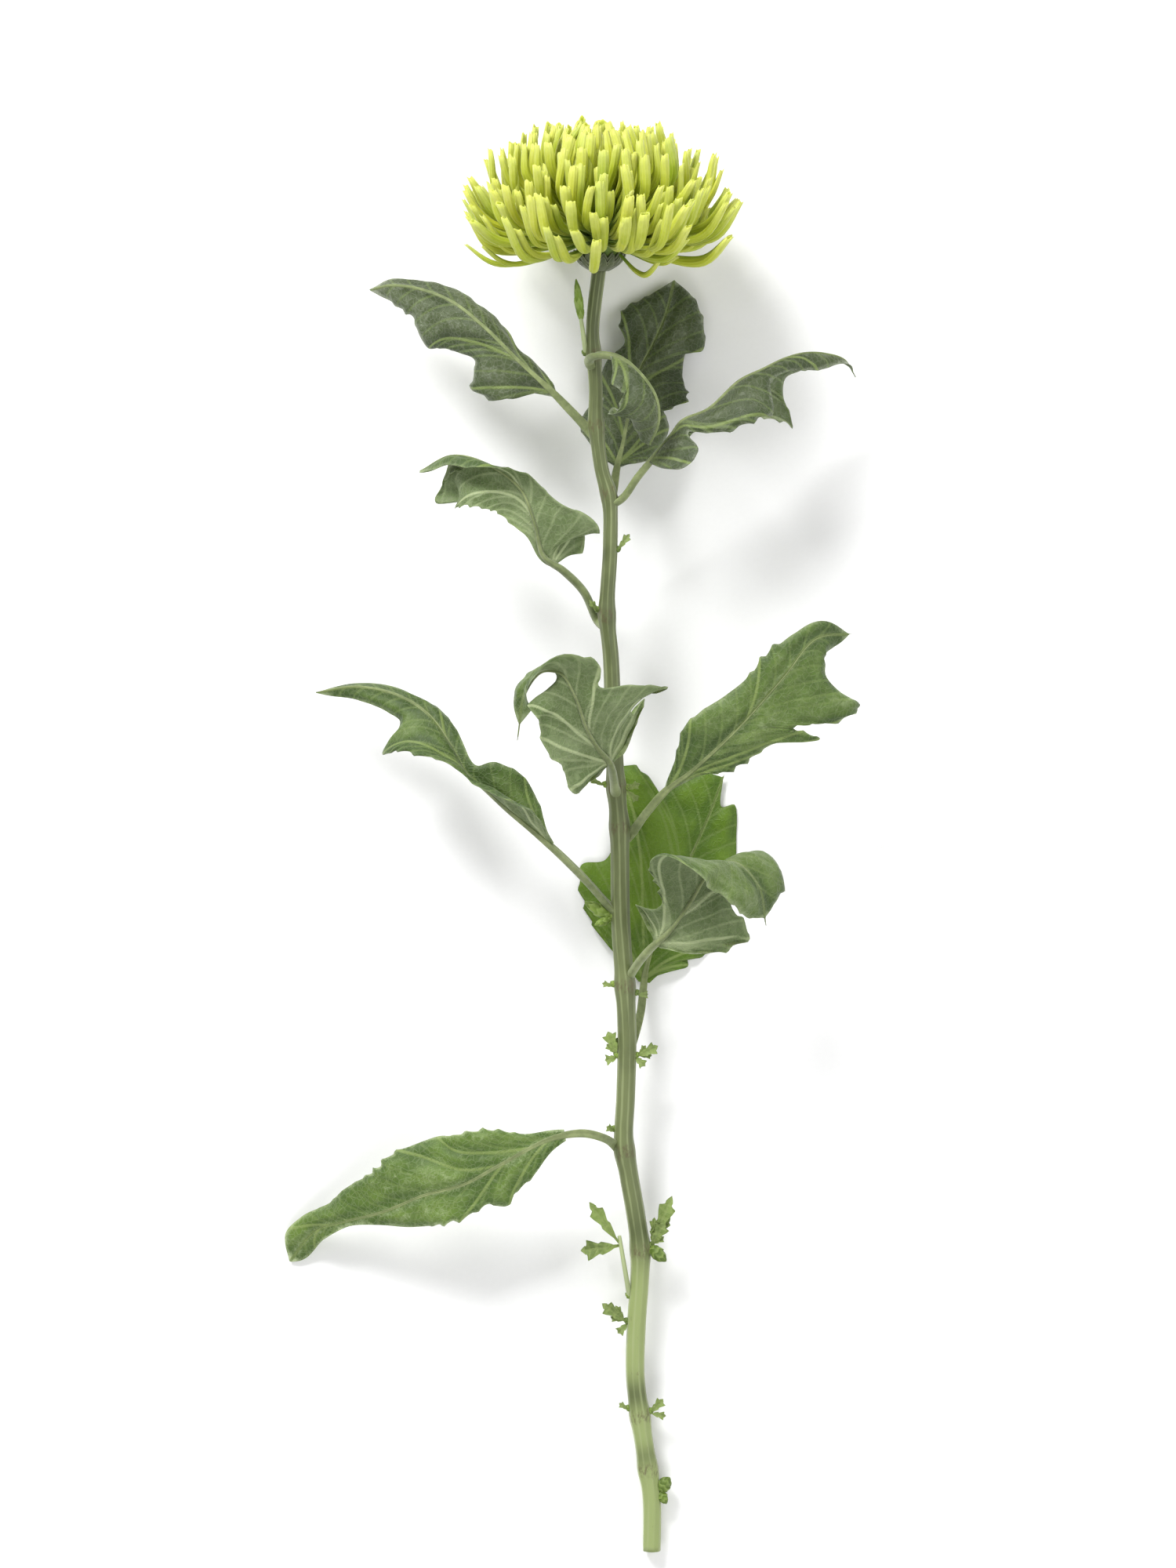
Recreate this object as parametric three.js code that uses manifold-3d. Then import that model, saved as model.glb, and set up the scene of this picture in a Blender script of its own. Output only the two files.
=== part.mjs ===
// A cut chrysanthemum lying on its back: stem, lobed leaves, axillary shoots and a quilled green bloom.
// Millimetres, +Z up. The stem runs along +Y from its cut end to the bloom.
import * as THREE from 'three';
import * as BufferGeometryUtils from 'three/addons/utils/BufferGeometryUtils.js';
import Module from 'manifold-3d';

const wasm = await Module();
wasm.setup();

// ---------- driving dimensions ----------
const GAP = 0.3; // air between neighbouring pieces

// stem
const CUT_RADIUS = 3.15; // the cut end rests on the surface
const STEM_RISE = 0.088; // climb of the stem per millimetre of its length
const STEM_SIDES = 10;
const STEM_RINGS = 50;
const STEM_PATH = [
  [0, 0], [0, 18.4], [-1.4, 29.4], [-4.1, 47.7], [-5.8, 62.3], [-5.5, 78.8], [-4.4, 95.2], [-4.1, 106.8],
  [-5.5, 118.3], [-8.2, 133.6], [-9.9, 144.6], [-9.3, 161.1], [-8.8, 181.7], [-9.6, 200.6], [-11, 221.5],
  [-11.5, 256.3], [-12.6, 269.5], [-13.4, 287.3], [-14.5, 314.8], [-15.9, 329.9], [-14.8, 353.2],
  [-15.1, 370.5], [-17.8, 380.6], [-19.8, 397.1], [-19.8, 408.1], [-20.6, 420.4], [-20.9, 429.5], [-18.7, 450],
];
const STEM_RADII = [[0, 3.15], [60, 3.3], [133, 3.45], [250, 3.25], [350, 2.65], [429, 2.3], [450, 2.5]];
const NODE_HEIGHTS = [29, 48, 107, 142, 200, 256, 270, 330, 372, 395, 420];
const NODE_SWELL = 0.55; // extra radius at a node
const NODE_REACH = 4; // length of the swelling to each side

// bloom
const HEAD_CENTRE = new THREE.Vector3(-18.4, 458, 45);
const HEAD_TILT = 12; // degrees that the face of the bloom turns up from the stem's line
const DOME_RADIUS = 8.5; // receptacle
const WHORLS = 10;
const FLORETS_PER_WHORL = 21;
const GOLDEN_ANGLE = Math.PI * (3 - Math.sqrt(5));
const BLOOM_RADIUS = 50; // reach of the outermost florets
const BLOOM_HEIGHT = 40; // height of the middle above the receptacle's centre
const FLORET_SIDES = 4;
const FLORET_STEPS = 2;
const FLORET_FOOT = 0.45; // radius where it leaves the receptacle
const FLORET_TIP = 1.35; // radius near the tip
const FLORET_BOW = 6; // degrees that a floret sags halfway along
const COLLAR_THICKNESS = 1; // the ring that a whorl's florets grow from
const COLLAR_SEGMENTS = 12;
const FLORET_CLEARANCE = 0.7; // lowest height of a floret's middle line above the surface
const FLOOR_SOFTNESS = 3; // how gently a floret flattens against the surface
const FLORET_SWELLING = 0.7; // power of the distance by which a floret widens
const DOME_FLATTEN = 0.85; // height of the dome against its radius
const DOME_STEPS = 5;
const LATHE_SEGMENTS = 16;
const CUP_DEPTH = 7.2; // underside of the receptacle below the bloom's centre
const NECK_RADIUS = 3.2; // underside of the receptacle where the stem meets it
const SHOULDER_INSET = 1; // how much narrower than the dome the cup's shoulder is
const SHOULDER_DEPTH = 3;
const LAST_ANGLE = 87; // degrees from the bloom's axis to the lowest whorl's outer edge
const STRAY_ROOT = 10.7; // stray florets start outside the involucre's rim
const INVOLUCRE_DEPTH = 9;
const INVOLUCRE_OUTLINE = [[9.7, -2.4], [8.8, -4], [7, -6.2], [4.2, -INVOLUCRE_DEPTH]]; // [radius, height]
const INVOLUCRE_LIP = [8.6, -1.9];

// leaves
const LEAF_THICKNESS = 0.8;
const EDGE_THINNING = 0.5; // thickness at the margin, as a share
const LEAF_ROWS = 14;
const STALK_ROWS = 4;
const LEAF_COLUMNS = 2; // in each half
const VEIN_SLANT = 0.7; // how far a side vein runs forward for each millimetre outward
const STALK_WIDTH = 1.5; // half
const STALK_DEPTH = 2.6;
const STALK_END = 1; // the stalk's last ring stands this far before the blade
const ROW_INSET = 0.3; // each row of the blade stands this far before its share of the rib
const EDGE_SAMPLES = 8; // for each point of an edge
const FLATTEST_BEND = 1e-5; // a blade half is never quite flat
const MERGE_DISTANCE = 1e-4; // points closer than this are one

// shoots
const CUSHION_RADIUS = 1.5; // swelling that a tuft grows from
const LEAFLET_SIDES = 5;
const LEAFLET_STEPS = 3;
const LEAFLET_FOOT = 0.25; // width at its foot, as a share of the widest
const LEAFLET_SHOULDER = 1.3; // power that moves the widest part towards the tip
const STALK_OVERLAP = 0.15; // how far back along a stalk its leaflets begin, as a share
const LEAFLET_ARCH = 0.12; // how far a leaflet bows up, as a share of its length

// ---------- small helpers ----------
const vec = ([x, y, z]) => new THREE.Vector3(x, y, z);
const radians = THREE.MathUtils.degToRad;
const lerp = THREE.MathUtils.lerp;

// value at x of a line through pairs [x, value]
function along(pairs, x) {
  let i = 1;
  while (i < pairs.length - 1 && x > pairs[i][0]) i += 1;
  const [x0, a] = pairs[i - 1];
  const [x1, b] = pairs[i];
  return lerp(a, b, THREE.MathUtils.clamp((x - x0) / (x1 - x0), 0, 1));
}

// value at a fraction of the way through evenly spread keys
function spread(keys, fraction) {
  if (keys.length === 1) return keys[0];
  return along(keys.map((key, i) => [i / (keys.length - 1), key]), fraction);
}

// direction at a fraction of the way through evenly spread directions
function facing(keys, fraction) {
  return new THREE.Vector3(...[0, 1, 2].map((axis) => spread(keys.map((key) => key[axis]), fraction)));
}

// closed skin through rings of equally many points, each end closed by a fan
function loft(rings) {
  const count = rings[0].length;
  const points = rings.flat();
  const faces = [];
  for (let i = 0; i < rings.length - 1; i += 1) {
    for (let j = 0; j < count; j += 1) {
      const a = i * count + j;
      const b = i * count + ((j + 1) % count);
      faces.push(a, b, b + count, a, b + count, a + count);
    }
  }
  for (const [ring, order] of [[0, 1], [rings.length - 1, 0]]) {
    const centre = new THREE.Vector3();
    rings[ring].forEach((point) => centre.addScaledVector(point, 1 / count));
    points.push(centre);
    for (let j = 0; j < count; j += 1) {
      const a = ring * count + j;
      const b = ring * count + ((j + 1) % count);
      faces.push(points.length - 1, order ? b : a, order ? a : b);
    }
  }
  const geometry = new THREE.BufferGeometry().setFromPoints(points);
  geometry.setIndex(faces);
  return geometry;
}

// tube along a curve, its radius given at each fraction of the way
function tube(curve, radiusAt, sides, steps) {
  const frames = curve.computeFrenetFrames(steps);
  const rings = [];
  for (let i = 0; i <= steps; i += 1) {
    const centre = curve.getPointAt(i / steps);
    const radius = radiusAt(i / steps);
    const ring = [];
    for (let j = 0; j < sides; j += 1) {
      const angle = (2 * Math.PI * j) / sides;
      ring.push(
        centre
          .clone()
          .addScaledVector(frames.normals[i], radius * Math.cos(angle))
          .addScaledVector(frames.binormals[i], radius * Math.sin(angle)),
      );
    }
    rings.push(ring);
  }
  return loft(rings);
}

// three.js geometry to a manifold solid
function solid(geometry) {
  const bare = geometry.clone();
  bare.deleteAttribute('normal');
  bare.deleteAttribute('uv');
  const merged = BufferGeometryUtils.mergeVertices(bare, MERGE_DISTANCE);
  const triVerts = [];
  const index = merged.index.array;
  for (let i = 0; i < index.length; i += 3) {
    const [a, b, c] = [index[i], index[i + 1], index[i + 2]];
    if (a !== b && b !== c && c !== a) triVerts.push(a, b, c);
  }
  const vertProperties = new Float32Array(merged.attributes.position.array);
  const skin = new wasm.Mesh({ numProp: 3, vertProperties, triVerts: new Uint32Array(triVerts) });
  return new wasm.Manifold(skin);
}

// the biggest separate piece of a manifold solid
function biggest(body) {
  const pieces = body.decompose();
  return pieces.reduce((best, piece) => (piece.volume() > best.volume() ? piece : best));
}

// manifold solid back to a named three.js mesh
function mesh(name, body, { color, roughness }) {
  const { vertProperties, triVerts } = biggest(body).getMesh();
  const geometry = new THREE.BufferGeometry();
  geometry.setAttribute('position', new THREE.BufferAttribute(Float32Array.from(vertProperties), 3));
  geometry.setIndex(Array.from(triVerts));
  const material = new THREE.MeshStandardMaterial({ color, roughness, metalness: 0 });
  const result = new THREE.Mesh(geometry, material);
  result.name = name;
  return result;
}

const MATERIALS = {
  stem: { color: 0x77854f, roughness: 0.6 },
  leaf: { color: 0x4c6a33, roughness: 0.7 },
  shoot: { color: 0x8aa545, roughness: 0.65 },
  involucre: { color: 0x4d5f33, roughness: 0.75 },
  receptacle: { color: 0x9bb33f, roughness: 0.7 },
  floret: { color: 0xc3d13d, roughness: 0.5 },
};

// ---------- stem ----------
const stemHeight = (y) => CUT_RADIUS + STEM_RISE * y;
const stemMiddle = STEM_PATH.map(([x, y]) => new THREE.Vector3(x, y, stemHeight(y)));
const stemCurve = new THREE.CatmullRomCurve3(stemMiddle);

function stemRadius(y) {
  const swelling = NODE_HEIGHTS.map((node) => Math.exp(-(((y - node) / NODE_REACH) ** 2)));
  return along(STEM_RADII, y) + NODE_SWELL * Math.max(...swelling);
}

function stemSolid(extra = 0) {
  const radiusAt = (fraction) => stemRadius(stemCurve.getPointAt(fraction).y) + extra;
  return solid(tube(stemCurve, radiusAt, STEM_SIDES, STEM_RINGS));
}

const stem = stemSolid();
const stemClearance = stemSolid(GAP);

// ---------- leaves ----------
// Each leaf follows a rib in space. `face` says where its upper side looks, from the stem to the tip.
// Each half is an edge of flat points [distance along the rib from the blade's base, distance from the rib],
// a fold at the rib in degrees, upward where positive, and a curl in degrees over CURL_WIDTH of width.
const CURL_WIDTH = 20;
const half = (fold, curl, edge) => ({ fold, curl, edge });
const UP = [[0, 0, 1]];

const LEAVES = [
  {
    rib: [[-22, 394, 38], [-28, 400, 42], [-36, 408, 45], [-47, 418, 46], [-58, 429, 45], [-69, 438, 42],
      [-80, 443, 37], [-91, 445, 31], [-99, 444, 24]],
    stalk: 18,
    face: UP,
    left: half([-10, -15], [-20, -25],
      [[0, 1], [7, 6], [14, 15], [22, 19], [26, 14], [29, 11], [37, 14], [46, 18], [54, 20], [60, 17], [65, 10],
        [71, 8], [78, 5], [85, 0]]),
    right: half([-45, -50], [-70, -60],
      [[0, 1], [5, 5], [14, 11], [22, 8], [34, 13], [46, 11], [56, 11], [66, 7], [76, 4], [85, 0]]),
  },
  {
    rib: [[-14, 372, 30], [-12.5, 381, 24], [-10, 392, 17], [-7.5, 405, 12], [-4.7, 416, 9], [0.8, 427, 7],
      [5, 437, 5], [8, 449, 4]],
    stalk: 12,
    face: UP,
    left: half([5], [-10],
      [[0, 1], [6, 10], [14, 16], [20, 15], [24, 9], [30, 12], [38, 12], [45, 9], [50, 13], [58, 14], [66, 8],
        [74, 0]]),
    right: half([5], [-10],
      [[0, 1], [8, 11], [14, 14], [20, 15], [27, 12], [31, 18], [39, 18], [46, 14], [52, 12], [55, 17],
        [63, 13], [70, 7], [74, 0]]),
  },
  {
    rib: [[-22, 418, 42], [-20, 420, 49], [-13, 419, 53], [-5, 413, 59], [1, 404, 61], [2, 396, 59],
      [-1, 388, 53]],
    stalk: 14,
    face: [[0, 1, 0.3], [0.3, 0.6, 0.8], [0.2, 0, 1]],
    left: half([-80], [-20], [[0, 1], [8, 6], [18, 9], [26, 7], [33, 9], [40, 4], [46, 0]]),
    right: half([-10], [-25],
      [[0, 1], [5, 5], [11, 10], [17, 9], [23, 14], [34, 18], [38, 11], [42, 6], [46, 0]]),
  },
  {
    rib: [[-11, 371, 37], [-6, 378, 40], [0, 385, 43], [6, 392, 45], [10, 397, 46], [19, 401, 47],
      [30, 411, 46], [38, 415, 44], [46, 419, 41], [53, 421, 38], [60, 421, 35], [67, 419, 32], [71, 413, 29]],
    stalk: 16,
    face: [[-0.5, 0.85, 0.2]],
    left: half([-60], [0],
      [[0, 1], [8, 4], [14, 6], [27, 8], [33, 11], [40, 12], [48, 18], [62, 27], [59, 15], [61, 8], [68, 7],
        [76, 5], [84, 2], [92, 0]]),
    right: half([-35, -60, -60], [0],
      [[0, 1], [4, 10], [8, 15], [14, 14], [17, 6], [24, 7], [32, 12], [40, 16], [48, 17], [53, 6], [60, 5],
        [68, 6], [76, 6], [84, 3], [92, 0]]),
  },
  {
    rib: [[-19, 328, 27], [-24, 338, 33], [-31, 345, 38], [-38, 350, 42], [-41, 361, 46], [-46, 373, 48],
      [-58, 382, 48], [-70, 385, 42], [-81, 380, 35]],
    stalk: 28,
    face: [[0, 0, -1]],
    left: half([0, -10, -110, -120], [0],
      [[-5, 9], [-1, 16], [3, 12], [6, 20], [14, 21], [19, 14], [26, 8], [36, 7], [50, 8], [64, 6], [76, 0]]),
    right: half([0], [10],
      [[0, 1], [12, 3], [25, 10], [39, 14], [60, 18], [74, 12], [68, 8], [53, 5], [62, 3], [70, 2], [76, 0]]),
  },
  {
    rib: [[-14, 228, 24], [-22, 237, 32], [-32, 247, 38], [-39, 253, 40], [-50, 262, 42], [-59, 270, 42],
      [-64, 274, 41], [-70, 284, 39], [-78, 295, 36], [-89, 302, 32], [-104, 305, 26], [-118, 303, 20]],
    stalk: 34,
    face: [[0.6, 0.7, 0.4], [0.6, 0.7, 0.4], [0, 0, 1], [0, 0, 1]],
    left: half([60, 50, -10, -10], [0],
      [[0, 1], [8, 6], [18, 11], [28, 10], [38, 4], [46, 9], [56, 14], [74, 21], [72, 9], [80, 7], [92, 5],
        [102, 3], [110, 0]]),
    right: half([60, 50, -60, -70], [0],
      [[0, 1], [5, 3], [13, 9], [23, 12], [32, 10], [40, 4], [56, 5], [70, 6], [84, 4], [98, 3], [110, 0]]),
  },
  {
    rib: [[-13, 269, 30], [-15, 278, 46], [-19, 283, 52], [-23, 290, 58], [-27, 301, 64], [-32, 309, 67],
      [-38, 310, 64], [-44, 303, 56], [-47, 286, 46]],
    stalk: 18,
    face: [[0, 0, -1], [0, -0.3, -1], [0, -0.3, -1], [0, 0.8, 0.6], [-0.3, 0.6, 1]],
    left: half([0], [0],
      [[0, 2], [3, 12], [6, 25], [10, 17], [15, 18], [24, 30], [29, 20], [32, 9], [38, 12], [44, 8], [52, 6],
        [64, 6], [76, 0]]),
    right: half([0], [0],
      [[0, 2], [1, 10], [6, 17], [13, 14], [20, 16], [30, 15], [40, 16], [50, 11], [62, 8], [76, 0]]),
  },
  {
    rib: [[-8, 253, 25], [-2, 261, 36], [5, 269, 42], [13, 275, 46], [29, 290, 52], [45, 308, 56],
      [56, 321, 54], [69, 323, 46]],
    stalk: 27,
    face: UP,
    left: half([10], [-10],
      [[0, 1], [13, 9], [20, 13], [30, 13], [39, 11], [50, 9], [62, 9], [72, 6], [80, 5], [90, 0]]),
    right: half([-10], [-10],
      [[0, 1], [12, 3], [20, 8], [29, 11], [38, 14], [49, 25], [46, 14], [53, 20], [61, 28], [67, 29],
        [66, 20], [68, 12], [76, 9], [84, 5], [90, 0]]),
  },
  {
    rib: [[-7, 180, 14], [-4, 190, 7], [-2, 205, 3], [3.5, 222, 2], [12, 241, 2], [20, 259, 2], [26, 275, 2]],
    stalk: 24,
    face: UP,
    left: half([0], [0],
      [[0, 2], [3, 5], [10, 16], [17, 25], [29, 34], [34, 27], [50, 29], [69, 35], [69, 26], [60, 21],
        [71, 15], [77, 8], [78, 0]]),
    right: half([0], [0],
      [[0, 2], [5, 6], [10, 14], [15, 12], [16, 18], [25, 19], [35, 18], [50, 16], [60, 12], [70, 7],
        [68, 3], [78, 0]]),
  },
  {
    rib: [[-9, 201, 19], [-2, 212, 34], [6, 220, 42], [13, 230, 48], [20, 241, 54], [28, 244, 58],
      [36, 236, 60], [39, 222, 54]],
    stalk: 26,
    face: [[0, -0.3, -1], [0, -0.3, -1], [-0.2, 0.3, -1], [0, 0.9, 0.4], [0.3, 0.5, 0.8]],
    left: half([0], [0],
      [[0, 2], [4, 6], [8, 12], [14, 20], [20, 24], [25, 14], [30, 11], [36, 15], [46, 17], [54, 15], [62, 12],
        [70, 0]]),
    right: half([0], [0],
      [[0, 2], [3, 9], [7, 15], [14, 8], [24, 14], [34, 25], [42, 27], [52, 18], [60, 13], [66, 8], [70, 0]]),
  },
  {
    rib: [[-12, 143, 16], [-17, 147, 26], [-25, 149, 32], [-36, 147, 34], [-53, 138, 32], [-66, 131, 30],
      [-80, 127, 27], [-94, 121, 22], [-108, 117, 15], [-119, 113, 8], [-128, 102, 1]],
    stalk: 28,
    face: UP,
    left: half([0], [-10],
      [[0, 2], [8, 5], [17, 9], [25, 11], [31, 14], [36, 10], [44, 11], [56, 11], [64, 9], [75, 4], [86, 2],
        [98, 4], [112, 4], [117, 0]]),
    right: half([0], [-10],
      [[0, 2], [12, 5], [22, 12], [35, 17], [45, 19], [54, 18], [61, 17], [66, 15], [82, 12], [95, 7],
        [102, 7], [109, 7], [117, 0]]),
  },
];

// rib of a leaf, with its directions at a distance from the stem
function ribOf({ rib, face }) {
  const curve = new THREE.CatmullRomCurve3(rib.map(vec));
  const length = curve.getLength();
  return {
    length,
    at(distance) {
      const fraction = THREE.MathUtils.clamp(distance / length, 0, 1);
      const point = curve.getPointAt(fraction);
      const tangent = curve.getTangentAt(fraction);
      const up = facing(face, fraction);
      up.addScaledVector(tangent, -up.dot(tangent)).normalize();
      return { point, up, left: new THREE.Vector3().crossVectors(up, tangent) };
    },
  };
}

// point of a leaf half: `station` along the rib, `width` across it, `lift` towards the upper side
function leafPoint(leaf, rib, side, station, width, lift) {
  const { point, up, left } = rib.at(station + leaf.stalk);
  const { fold, curl } = leaf[side];
  const fraction = THREE.MathUtils.clamp(station / (rib.length - leaf.stalk), 0, 1);
  const start = radians(spread(fold, fraction));
  const bend = radians(spread(curl, fraction)) / CURL_WIDTH || FLATTEST_BEND;
  const end = start + bend * width;
  const outward = (Math.sin(end) - Math.sin(start)) / bend;
  const sign = side === 'left' ? 1 : -1;
  return point
    .addScaledVector(left, sign * (outward - lift * Math.sin(end)))
    .addScaledVector(up, (Math.cos(start) - Math.cos(end)) / bend + lift * Math.cos(end));
}

// edge of a leaf half as a smooth curve, and the edge point whose side vein leaves the rib at a station
function edgeOf(edge, base, tip) {
  const curve = new THREE.CatmullRomCurve3(edge.map(([s, v]) => new THREE.Vector3(s, v, 0)));
  const samples = curve.getPoints(edge.length * EDGE_SAMPLES);
  let foot = base;
  const feet = samples.map(({ x, y }) => {
    foot = Math.max(foot, Math.min(x - VEIN_SLANT * y, tip));
    return foot;
  });
  return (station) => {
    let i = feet.findIndex((value) => value >= station);
    if (i < 0) i = feet.length - 1;
    return samples[i];
  };
}

function leafRing(leaf, rib, station, edges, extra) {
  const ring = [];
  const row = (side, lift, columns) => {
    for (const column of columns) {
      const fraction = column / LEAF_COLUMNS;
      const { x, y } = edges[side];
      const height = lift(fraction) * lerp(1, EDGE_THINNING, fraction);
      ring.push(leafPoint(leaf, rib, side, lerp(station, x, fraction), y * fraction, height));
    }
  };
  const outward = Array.from({ length: LEAF_COLUMNS }, (_, i) => i + 1);
  const inward = outward.toReversed();
  const top = () => LEAF_THICKNESS / 2 + extra;
  const under = () => -LEAF_THICKNESS / 2 - extra;
  row('left', top, inward);
  row('left', top, [0]);
  row('right', top, outward);
  row('right', under, inward);
  row('left', () => -edges.depth - extra, [0]);
  row('left', under, outward);
  return ring;
}

function leafSolid(leaf, extra = 0) {
  const rib = ribOf(leaf);
  const tip = rib.length - leaf.stalk;
  const edgeLeft = edgeOf(leaf.left.edge, 0, tip);
  const edgeRight = edgeOf(leaf.right.edge, 0, tip);
  const rings = [];
  for (let i = 0; i <= STALK_ROWS; i += 1) {
    const station = lerp(-leaf.stalk, -STALK_END, i / STALK_ROWS);
    const edge = { x: station, y: STALK_WIDTH + extra };
    rings.push(leafRing(leaf, rib, station, { left: edge, right: edge, depth: STALK_DEPTH }, extra));
  }
  for (let i = 1; i <= LEAF_ROWS; i += 1) {
    const station = (tip * i) / LEAF_ROWS - ROW_INSET;
    const depth = lerp(STALK_DEPTH, LEAF_THICKNESS, Math.sqrt(i / LEAF_ROWS));
    const edges = { left: edgeLeft(station), right: edgeRight(station), depth };
    rings.push(leafRing(leaf, rib, station, edges, extra));
  }
  return solid(loft(rings)).subtract(stemClearance);
}

// ---------- shoots ----------
// Tufts in the leaf axils. `side` is -1 for the left of the stem and 1 for the right. Each leaflet is
// [end x, end y, rise above the stem's middle, half width, half thickness]. Where it is stalked, the
// first one is the stalk that carries the others.
const SHOOTS = [
  { at: 420, side: -1, stalked: true, leaflets: [[-25, 433, 2, 0.7, 0.7], [-26.5, 445, 3, 1.7, 1.2]] },
  { at: 352, side: 1, leaflets: [[-8, 358, 1, 1, 0.8]] },
  { at: 331, side: -1, leaflets: [[-22, 335, 4, 0.8, 0.5]] },
  { at: 270, side: -1, leaflets: [[-22.5, 273, 2, 0.8, 0.5]] },
  { at: 269, side: 1, leaflets: [[-4.5, 271, 3, 1, 0.6], [-5, 265, 1, 1, 0.6]] },
  { at: 224, side: -1, leaflets: [[-22.5, 229, 1, 2.4, 1.8], [-19, 222, 2, 1.6, 1.2]] },
  { at: 200, side: -1, leaflets: [[-17.5, 201, 1, 0.8, 0.5]] },
  { at: 197, side: 1, leaflets: [[-1.5, 197, -2, 0.9, 0.5]] },
  { at: 175, side: -1, leaflets: [[-15.5, 184, 1, 1.7, 0.8], [-16.5, 174, 2, 1.3, 0.7]] },
  { at: 175, side: 1, leaflets: [[2, 179, 2, 1.5, 0.7], [-2.5, 172, 3, 1.2, 0.7]] },
  { at: 149, side: -1, leaflets: [[-16, 150.5, 2, 1, 0.6]] },
  {
    at: 90,
    side: -1,
    stalked: true,
    leaflets: [[-11.5, 112, 4, 0.7, 0.7], [-22, 124, 6, 1.8, 0.8], [-25, 107, 7, 2.4, 0.8]],
  },
  { at: 108, side: 1, leaflets: [[7, 126, 3, 2, 0.8], [4.5, 117, 4, 1.8, 0.8], [4, 104, 3, 2.6, 1.6]] },
  { at: 81, side: -1, leaflets: [[-17.5, 88, 3, 1.7, 0.8], [-12, 77.5, 2, 1.2, 0.8]] },
  { at: 50, side: -1, leaflets: [[-11.5, 52.5, 1, 0.8, 0.5]] },
  { at: 49, side: 1, leaflets: [[4, 54, 2, 1.3, 0.6], [5, 48, 1, 1, 0.6]] },
  { at: 21, side: 1, leaflets: [[5.5, 25, 1, 2.8, 2], [4.5, 18, 1, 2, 1.5]] },
];

// pointed leaflet from one point to another
function leaflet(from, to, width, thickness) {
  const reach = to.clone().sub(from);
  const across = new THREE.Vector3(-reach.y, reach.x, 0).normalize();
  const up = new THREE.Vector3().crossVectors(reach, across).normalize();
  const rings = [];
  for (let i = 0; i <= LEAFLET_STEPS; i += 1) {
    const t = i / LEAFLET_STEPS;
    const belly = lerp(LEAFLET_FOOT, 1, Math.sin(Math.PI * t ** LEAFLET_SHOULDER) * (i < LEAFLET_STEPS));
    const centre = from.clone().lerp(to, t);
    centre.addScaledVector(up, LEAFLET_ARCH * reach.length() * Math.sin(Math.PI * t));
    const ring = [];
    for (let j = 0; j < LEAFLET_SIDES; j += 1) {
      const angle = (2 * Math.PI * j) / LEAFLET_SIDES;
      const offset = across.clone().multiplyScalar(width * belly * Math.cos(angle));
      ring.push(offset.addScaledVector(up, thickness * belly * Math.sin(angle)).add(centre));
    }
    rings.push(ring);
  }
  return solid(loft(rings));
}

function stemPoint(y) {
  const xs = STEM_PATH.map(([x, height]) => [height, x]);
  return new THREE.Vector3(along(xs, y), y, stemHeight(y));
}

function shootSolid({ at, side, leaflets, stalked }) {
  const base = stemPoint(at).add(new THREE.Vector3(side * (stemRadius(at) + GAP), 0, 0));
  const cushion = new THREE.SphereGeometry(CUSHION_RADIUS, LEAFLET_SIDES, LEAFLET_STEPS);
  cushion.translate(...base);
  let body = solid(cushion);
  let foot = base;
  for (const [x, y, rise, width, thickness] of leaflets) {
    const end = new THREE.Vector3(x, y, base.z + rise);
    body = body.add(leaflet(foot, end, width, thickness));
    if (stalked && foot === base) foot = end.lerp(base, STALK_OVERLAP);
  }
  return body.subtract(stemClearance);
}

// ---------- bloom ----------
// Built round +Z at the receptacle's centre, then turned to the bloom's own direction.
const headTurn = new THREE.Matrix4()
  .makeRotationX(-radians(90 - HEAD_TILT))
  .setPosition(HEAD_CENTRE);

function lathe(profile, segments) {
  const geometry = new THREE.LatheGeometry(profile.map(([r, h]) => new THREE.Vector2(r, h)), segments);
  return geometry.rotateX(Math.PI / 2).applyMatrix4(headTurn);
}

function receptacleSolid() {
  const shoulder = [DOME_RADIUS - SHOULDER_INSET, -SHOULDER_DEPTH];
  const profile = [[0, -CUP_DEPTH], [NECK_RADIUS, -CUP_DEPTH], shoulder];
  for (let i = 0; i < DOME_STEPS; i += 1) {
    const angle = (Math.PI / 2) * (i / DOME_STEPS);
    profile.push([DOME_RADIUS * Math.cos(angle), DOME_RADIUS * DOME_FLATTEN * Math.sin(angle)]);
  }
  profile.push([0, DOME_RADIUS * DOME_FLATTEN]);
  return solid(lathe(profile, LATHE_SEGMENTS)).subtract(stemClearance);
}

// the cup of bracts, a gap outside the receptacle's underside
function involucreSolid() {
  const floor = -CUP_DEPTH - GAP;
  const shoulder = [DOME_RADIUS - SHOULDER_INSET + GAP, -SHOULDER_DEPTH - GAP];
  const inside = [[0, floor], [NECK_RADIUS + GAP, floor], shoulder, INVOLUCRE_LIP];
  const profile = [...inside, ...INVOLUCRE_OUTLINE, [0, -INVOLUCRE_DEPTH]];
  return solid(lathe(profile.reverse(), LATHE_SEGMENTS)).subtract(stemClearance);
}

// polar angle, from the bloom's axis, of a whorl: every whorl gets an equal share of the dome
function polarAngle(share) {
  return Math.acos(1 - share * (1 - Math.cos(radians(LAST_ANGLE))));
}

// a point in the bloom's own frame, moved to its place and kept off the surface below
function bloomPoint(distance, polar, azimuth, clearance) {
  const point = new THREE.Vector3().setFromSphericalCoords(distance, polar, azimuth);
  const standing = new THREE.Vector3(point.x, point.z, point.y).applyMatrix4(headTurn);
  const height = (standing.z - clearance) / FLOOR_SOFTNESS;
  standing.z = clearance + FLOOR_SOFTNESS * Math.log1p(Math.exp(height));
  return standing;
}

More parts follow.
